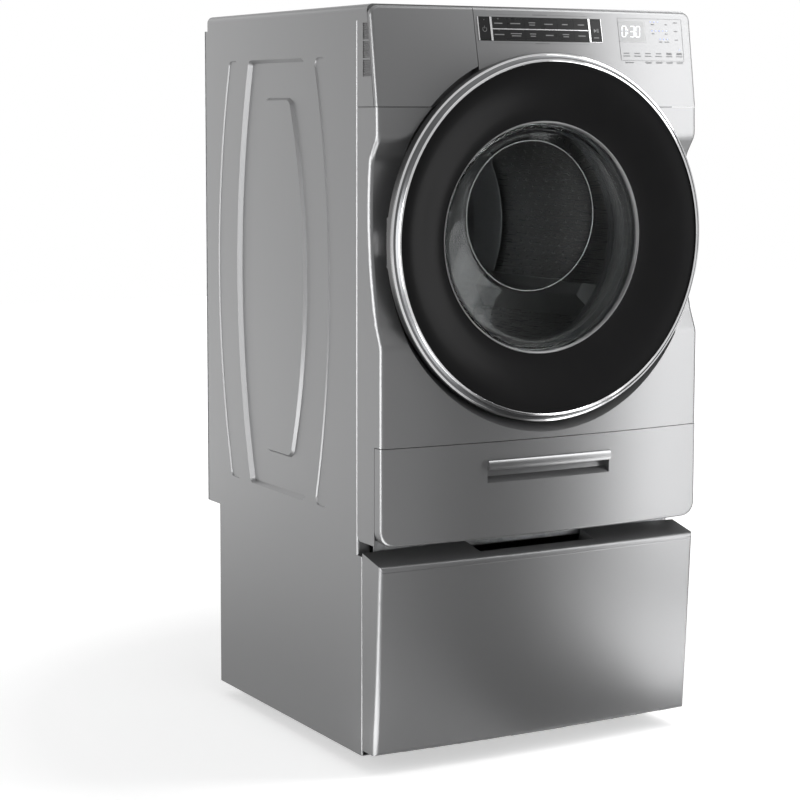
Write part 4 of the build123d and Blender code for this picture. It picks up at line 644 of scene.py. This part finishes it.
# Display: a panel outlined by a fine groove, with a clouded window for the lit digits of the time
# left, rows of small lamps and the printed names of the options under them.
DISPLAY = (1.277, 1.364)
GROOVE = 0.0007
GROOVE_MID = (0.246, 1.320)
GROOVE_OUT = 0.0747
GROOVE_UP = 0.0388
GROOVE_LONG = 0.149
OPTION_FIRST = 0.1845
OPTION_PITCH = 0.0252
OPTIONS = 6
OPTION_Z = 1.2945
OPTION_TALL = 0.0019
BOLD_FROM = 4
BOLD_TALL = 0.0042
LOWER_FROM = 2
WINDOW = (0.2035, 1.3345, 0.058, 0.040)
DIGITS = ((0.1835, 0), (0.2025, 3), (0.2155, 0))
DIGIT_STROKES = {0: "abcdef", 3: "abcdg"}
STROKE_SIDES = {"f": -1, "e": -1, "b": 1, "c": 1}
STROKE_LEVELS = {"a": 2, "f": 1, "b": 1, "e": -1, "c": -1, "d": -2}
STROKE = 0.0011
STROKE_UPRIGHT = 0.0084
STROKE_ACROSS = 0.0078
STROKE_LEAN = 0.12
DIGIT_HALF = 0.0045
DIGIT_STEP = 0.0048
DIGIT_SLANT = 0.0006
LAMP_R = 0.0011
LAMP_PITCH = 0.0085
groove_x, groove_z = GROOVE_MID
outline = bmesh.new()
for side in (-1, 1):
    bar(outline, groove_x, groove_z + side * GROOVE_UP, GROOVE_LONG, GROOVE)
    bar(outline, groove_x + side * GROOVE_OUT, groove_z, GROOVE, 2 * GROOVE_UP)
for number in range(OPTIONS):
    x = OPTION_FIRST + OPTION_PITCH * number
    bar(outline, x, OPTION_Z, 0.013, BOLD_TALL if number >= BOLD_FROM else OPTION_TALL)
    bar(outline, x, OPTION_Z - 0.005, 0.0155, OPTION_TALL)
    if number >= LOWER_FROM:
        bar(outline, x, 1.2785, 0.0165, 0.0016)
        bar(outline, x, 1.2765, 0.0135, 0.0012)
bar(outline, 0.190, 1.2775, 0.020, 0.002)
lamp_names = [(0.252, 1.3485, 0.007), (0.284, 1.3485, 0.006), (0.252, 1.3315, 0.006)]
lamp_names += [(0.283, 1.3315, 0.006), (0.268, 1.3165, 0.007), (0.283, 1.3165, 0.010)]
lamp_names += [(0.306, 1.3525, 0.010), (0.306, 1.3365, 0.008), (0.306, 1.3205, 0.007)]
for x, z, width in lamp_names:
    bar(outline, x, z, width, LABEL_TALL)
lay(outline, *DISPLAY, proud=0.0001, thick=0.0002)
piece("display_print", outline, "cabinet", ink)
clouded, place = finish("clouded_window", Specular_IOR_Level=0.5)
feed(
    clouded,
    Base_Color=tint(place, grain(place, 60), (0.21, 0.212, 0.214), (0.24, 0.242, 0.244)),
    Roughness=0.28 + 0.08 * grain(place, 200),
)
window = bmesh.new()
bar(window, *WINDOW)
lay(window, *DISPLAY, proud=0.0001, thick=0.0002)
piece("digit_window", window, "cabinet", clouded)
lit, place = finish("lit_digits", Emission_Strength=0.85)
feed(
    lit,
    Base_Color=tint(place, grain(place, 200), (0.8, 0.82, 0.85), (0.86, 0.88, 0.9)),
    Emission_Color=tint(place, grain(place, 200), (0.9, 0.95, 1.0), (1, 1, 1)),
)
digits = bmesh.new()
for digit_x, number in DIGITS:
    for stroke in DIGIT_STROKES[number]:
        side = STROKE_SIDES.get(stroke, 0)
        level = STROKE_LEVELS.get(stroke, 0)
        x = digit_x + DIGIT_HALF * side + DIGIT_SLANT * level
        z = STRIP_MID + DIGIT_STEP * level
        if side:
            bar(digits, x, z, STROKE, STROKE_UPRIGHT, STROKE_LEAN)
        else:
            bar(digits, x, z, STROKE_ACROSS, STROKE)
for x, z in ((0.1925, 1.3375), (0.1917, 1.3315)):
    dot(digits, x, z, STROKE)
lay(digits, *DISPLAY, proud=0.0004)
piece("lit_digits", digits, "cabinet", lit)
lamp_blue, place = finish("blue_lamps", Emission_Strength=0.5)
feed(
    lamp_blue,
    Base_Color=tint(place, grain(place, 500), (0.2, 0.26, 0.7), (0.26, 0.32, 0.8)),
    Emission_Color=tint(place, grain(place, 500), (0.25, 0.3, 0.9), (0.3, 0.36, 1.0)),
)
lamps = bmesh.new()
for x, z, count in ((0.2475, 1.3535, 3), (0.2495, 1.337, 5), (0.2675, 1.3215, 3)):
    for number in range(count):
        dot(lamps, x + LAMP_PITCH * number, z, LAMP_R, 10)
dot(lamps, 0.3115, 1.3015, 0.0009, 10)
lay(lamps, *DISPLAY, proud=0.0003)
piece("indicator_lamps", lamps, "cabinet", lamp_blue)

# Lower drawer: a bowed front in the same lacquer with a bright bar handle over a finger grip, and a
# tank for bulk detergent behind it.
dress(lacquer, "bulk_drawer_front")
silver_moulding, place = finish("silver_moulding", Metallic=1.0)
feed(
    silver_moulding,
    Base_Color=tint(place, grain(place, 1400, 1), (0.17, 0.171, 0.173), (0.2, 0.201, 0.203)),
    Roughness=0.3 + 0.06 * grain(place, 6),
)
dress(silver_moulding, "bulk_handle")

# Door ring: a turned plastic trim with a bright chrome lip at each edge, a satin band between them and
# a black side wall, clipped round the door.
BAND_IN = 0.3215
BAND_OUT = 0.3285
PLATED_TO = FACE_Y - 0.0160
chrome, place = finish("chrome_and_satin")
from_axis = place.node("ShaderNodeVectorMath", {"operation": "SUBTRACT"}, {0: place, 1: (0, 0, AXIS_Z)})
flat = place.node("ShaderNodeVectorMath", {"operation": "MULTIPLY"}, {0: from_axis, 1: (1, 0, 1)})
radius = place.node("ShaderNodeVectorMath", {"operation": "LENGTH"}, {0: flat}, "Value")
behind = place.node("ShaderNodeSeparateXYZ", {}, {"Vector": place}, "Y") > PLATED_TO
band = (radius > BAND_IN) * (radius < BAND_OUT)
plated = tint(place, band, (0.5, 0.5, 0.505), (0.085, 0.086, 0.088))
feed(
    chrome,
    Base_Color=tint(place, behind, plated, (0.012, 0.012, 0.0125)),
    Metallic=1 - behind,
    Roughness=0.07 + 0.03 * grain(place, 40) + 0.22 * band + 0.3 * behind,
)
dress(chrome, "door_trim_ring")

# Door glass: a dished, smoked outer ring of glossy plastic, a grey rim and a clear flat pane, held in
# a black frame. The pressed glass bowl behind them leans up into the drum's mouth, and a fine grey
# bead round its foot is a painted highlight, standing in for the bright line refraction draws there.
ROUND_STEPS = 128
BOWL_STEPS = 96
DISH_WALL = 0.004
PANE_R = 0.2069
PANE_FRONT = FACE_Y + 0.0131
PANE_BACK = FACE_Y + 0.0169
BOWL_LEAN = 0.038
LEAN_FROM = FACE_Y + 0.033
LEAN_OVER = 0.024
FOOT_R = 0.1375
FOOT_Y = FACE_Y + 0.0535
BEAD_R = 0.0007
BEAD_CORNERS = 8
smoke, place = finish("smoked_gloss", Specular_IOR_Level=0.02)
feed(
    smoke,
    Base_Color=tint(place, grain(place, 12), (0.011, 0.011, 0.0113), (0.014, 0.014, 0.0143)),
    Roughness=0.18 + 0.05 * grain(place, 8),
)
slope = [(0.317, -0.023), (0.3045, -0.0215), (0.286, -0.0165), (0.262, -0.0072)]
slope += [(0.238, 0.0022), (0.2215, 0.0072), (0.2112, 0.0085)]
front_side = [(r, FACE_Y + depth) for r, depth in slope]
back_side = [(r, y + DISH_WALL) for r, y in reversed(front_side)]
dish = bmesh.new()
turn(dish, front_side + back_side + front_side[:1], ROUND_STEPS)
smoked_dish = piece("smoked_dish", dish, "door", smoke, 50)
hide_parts("door_lens")
rim_side = [(0.2112, 0.0085), (0.2104, 0.0077), (0.2094, 0.0079)]
rim_side += [(PANE_R, 0.0130), (PANE_R, 0.0165), (0.2112, 0.0125)]
rim = bmesh.new()
turn(rim, [(r, FACE_Y + depth) for r, depth in rim_side + rim_side[:1]], ROUND_STEPS)
grey_gloss, place = finish("grey_gloss", Specular_IOR_Level=0.5)
feed(
    grey_gloss,
    Base_Color=tint(place, grain(place, 30), (0.16, 0.16, 0.163), (0.2, 0.2, 0.203)),
    Roughness=0.16 + 0.06 * grain(place, 60),
)
window_rim = piece("window_rim", rim, "door", grey_gloss, 60)
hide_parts("door_lens")
clear, place = finish("clear_pane", Transmission_Weight=1.0, IOR=1.1, Base_Color=(0.8, 0.81, 0.81, 1))
feed(clear, Roughness=0.01 + 0.02 * grain(place, 6))
pane = bmesh.new()
turn(pane, [(0, PANE_FRONT), (PANE_R, PANE_FRONT), (PANE_R, PANE_BACK), (0, PANE_BACK)], ROUND_STEPS)
window_pane = piece("window_pane", pane, "door", clear)
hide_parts("door_lens")
dress(black_moulding, "door_frame")
bowl_glass, place = finish(
    "pressed_glass", Transmission_Weight=1.0, IOR=1.22, Base_Color=(0.95, 0.97, 0.97, 1)
)
feed(
    bowl_glass,
    Roughness=0.01 + 0.03 * grain(place, 5),
    Normal=relief(place, grain(place, 18), 0.0002),
)
inside = [(0, 0.057), (0.127, 0.057), (0.137, 0.0565), (0.148, 0.052)]
inside += [(0.188, 0.0385), (0.197, 0.033), (0.198, 0.017)]
outside = [(0.2107, 0.017), (0.2107, 0.022), (0.203, 0.022), (0.203, 0.0325), (0.196, 0.039)]
outside += [(0.153, 0.0575), (0.142, 0.0615), (0.132, 0.062), (0, 0.062)]
bowl = bmesh.new()
turn(bowl, [(r, FACE_Y + depth) for r, depth in inside + outside], BOWL_STEPS)
for vert in bowl.verts:
    vert.co.z += BOWL_LEAN * min(max((vert.co.y - LEAN_FROM) / LEAN_OVER, 0), 1)
glass_bowl = piece("glass_bowl", bowl, "door", bowl_glass, 80)
soften(glass_bowl, "fire_polish", 2)
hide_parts("door_bowl")
corners = [2 * math.pi * corner / BEAD_CORNERS for corner in range(BEAD_CORNERS)]
bead_side = [(FOOT_R + BEAD_R * math.cos(angle), BEAD_R * math.sin(angle)) for angle in corners]
bead = bmesh.new()
turn(bead, bead_side + bead_side[:1], ROUND_STEPS, (0, FOOT_Y, AXIS_Z + BOWL_LEAN))
# The bead's grey stands in for the bright line that refraction draws round the bowl's foot: a painted
# highlight.
foot_glint, place = finish("painted_foot_glint", Specular_IOR_Level=0.5)
feed(
    foot_glint,
    Base_Color=tint(place, grain(place, 40), (0.3, 0.31, 0.31), (0.38, 0.39, 0.39)),
    Roughness=0.2 + 0.1 * grain(place, 200),
)
foot_glint_bead = piece("bowl_foot_glint", bead, "door", foot_glint, 80)
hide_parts("door_bowl")

# Door fittings: a bracket screwed behind the front panel, the pin that the door swings on and the hook
# that the lock holds, all of bright plated steel.
dress(bright, "hinge_pin", "latch_hook", "hinge_bracket")

# Studio: a pale floor that keeps the machine's shadow, soft panels of light, of which some are seen in
# reflections only, as two dark cards are, and a camera level with the console's foot, to the left of
# the front.
FLOOR_HALF = 9
FLAG_X = 0.2
FLAG_WIDE = 0.56


def in_sight(start):
    """1 for rays that look at a thing, straight or by way of metal or glass, and 0 for its light."""
    rays = ("Is Camera Ray", "Is Glossy Ray", "Is Transmission Ray")
    straight, mirrored, through = (start.node("ShaderNodeLightPath", {}, {}, ray) for ray in rays)
    return straight + mirrored + through


ground = bmesh.new()
bmesh.ops.create_grid(ground, x_segments=1, y_segments=1, size=FLOOR_HALF)
floor_mesh = bpy.data.meshes.new("studio_floor")
ground.to_mesh(floor_mesh)
ground.free()
floor = bpy.data.objects.new("studio_floor", floor_mesh)
bpy.context.scene.collection.objects.link(floor)
paper, place = finish(
    "white_paper",
    Base_Color=(0.8, 0.8, 0.8, 1),
    Roughness=0.9,
    Specular_IOR_Level=0.0,
    Emission_Color=(1, 1, 1, 1),
)
reach = place.node("ShaderNodeVectorMath", {"operation": "LENGTH"}, {0: place}, "Value")
spread = {"Value": reach, "From Min": 0.8, "From Max": 2.0, "To Min": 0.5, "To Max": 1.0}
feed(paper, Emission_Strength=in_sight(place) * place.node("ShaderNodeMapRange", {}, spread))
floor_mesh.materials.append(paper)
world = bpy.data.worlds.new("studio")
bpy.context.scene.world = world
world.use_nodes = True
sky = world.node_tree.nodes["Background"]
sky.inputs["Color"].default_value = (1, 1, 1, 1)
strength = 0.3 + 0.7 * in_sight(Value(world.node_tree, sky.outputs[0]))
world.node_tree.links.new(strength.socket, sky.inputs["Strength"])


def panel(name, bearing, distance, height, width, tall, level, aim=(0, 0, 0.8), lights=True):
    """A soft light at a bearing from the front, in degrees to the right, or one for reflections only."""
    lamp = bpy.data.lights.new(name, "AREA")
    lamp.shape = "RECTANGLE"
    lamp.size = width
    lamp.size_y = tall
    lamp.energy = level * math.pi * width * tall
    made = bpy.data.objects.new(name, lamp)
    turn_by = math.radians(bearing)
    made.location = (distance * math.sin(turn_by), -distance * math.cos(turn_by), height)
    made.rotation_euler = (Vector(aim) - made.location).to_track_quat("-Z", "Y").to_euler()
    made.visible_diffuse = lights
    made.visible_camera = False
    bpy.context.scene.collection.objects.link(made)


panel("right_panel", bearing=42.1, distance=0.968, height=1.15, width=0.32, tall=2.3, level=6.8)
panel("left_panel", bearing=-90, distance=3.6, height=1.3, width=3.6, tall=2.4, level=1.2)
panel("back_left_panel", bearing=-156.4, distance=2.18, height=1.2, width=0.95, tall=2.4, level=1.05)
panel("ceiling_panel", bearing=20, distance=0.4, height=3.6, width=3.0, tall=3.0, level=0.6)
panel("edge_panel", bearing=-88, distance=2.2, height=0.8, width=1.8, tall=1.6, level=9.0, lights=False)
panel("high_panel", bearing=28, distance=2.4, height=3.3, width=2.6, tall=0.8, level=2.5, lights=False)
panel(
    "low_right_panel",
    bearing=46.6,
    distance=0.99,
    height=0.004,
    width=0.5,
    tall=0.5,
    level=4.5,
    aim=(0.72, -0.68, 1),
    lights=False,
)
panel(
    "low_left_panel",
    bearing=-58.6,
    distance=1.488,
    height=0.004,
    width=0.6,
    tall=1.9,
    level=8.0,
    aim=(-1.2692, -0.7749, 1),
    lights=False,
)


def card(name, *shapes):
    """A black card of flat sheets that only reflections see."""
    sheets = bmesh.new()
    for shape in shapes:
        bmesh.ops.create_grid(sheets, x_segments=1, y_segments=1, size=0.5, matrix=shape)
    mesh = bpy.data.meshes.new(name)
    sheets.to_mesh(mesh)
    sheets.free()
    made = bpy.data.objects.new(name, mesh)
    bpy.context.scene.collection.objects.link(made)
    made.visible_camera = made.visible_diffuse = made.visible_shadow = False
    cloth, place = finish(name, Base_Color=(0, 0, 0, 1), Specular_IOR_Level=0.0)
    mesh.materials.append(cloth)
    return cloth, place


ahead = Matrix.Translation((FLAG_X, -0.955, 0.76)) @ Matrix.Rotation(math.radians(6), 4, "Z") @ UPRIGHT
below = Matrix.Translation((FLAG_X, -0.69, 0.003)) @ Matrix.Diagonal((FLAG_WIDE, 0.5, 1, 1))
flag, place = card("front_flag", ahead @ Matrix.Diagonal((FLAG_WIDE, 1.52, 1, 1)), below)
flag.node_tree.nodes["Principled BSDF"].inputs["Emission Color"].default_value = (1, 1, 1, 1)
aside = place.maths("ABSOLUTE", place.node("ShaderNodeSeparateXYZ", {}, {"Vector": place}) - FLAG_X)
fade = {"Value": aside, "From Min": 0.12, "From Max": 0.25, "To Min": 0.12, "To Max": 1.0}
feed(flag, Emission_Strength=place.node("ShaderNodeMapRange", {"interpolation_type": "SMOOTHSTEP"}, fade))
beside = Matrix.Translation((1.15, 0.6, 1.1)) @ Matrix.Rotation(math.radians(82), 4, "Z") @ UPRIGHT
card("side_flag", beside @ Matrix.Diagonal((2.0, 2.2, 1, 1)))
lens = bpy.data.cameras.new("camera")
lens.lens = 97.971
lens.sensor_width = 36
lens.shift_x = 0.049
lens.shift_y = -0.06
camera = bpy.data.objects.new("camera", lens)
camera.location = (-2.182414, -3.673904, 1.193027)
camera.rotation_euler = (math.radians(90 - 6.377), 0, math.radians(-28.598))
bpy.context.scene.collection.objects.link(camera)
bpy.context.scene.camera = camera
bpy.context.scene.view_settings.view_transform = "Standard"
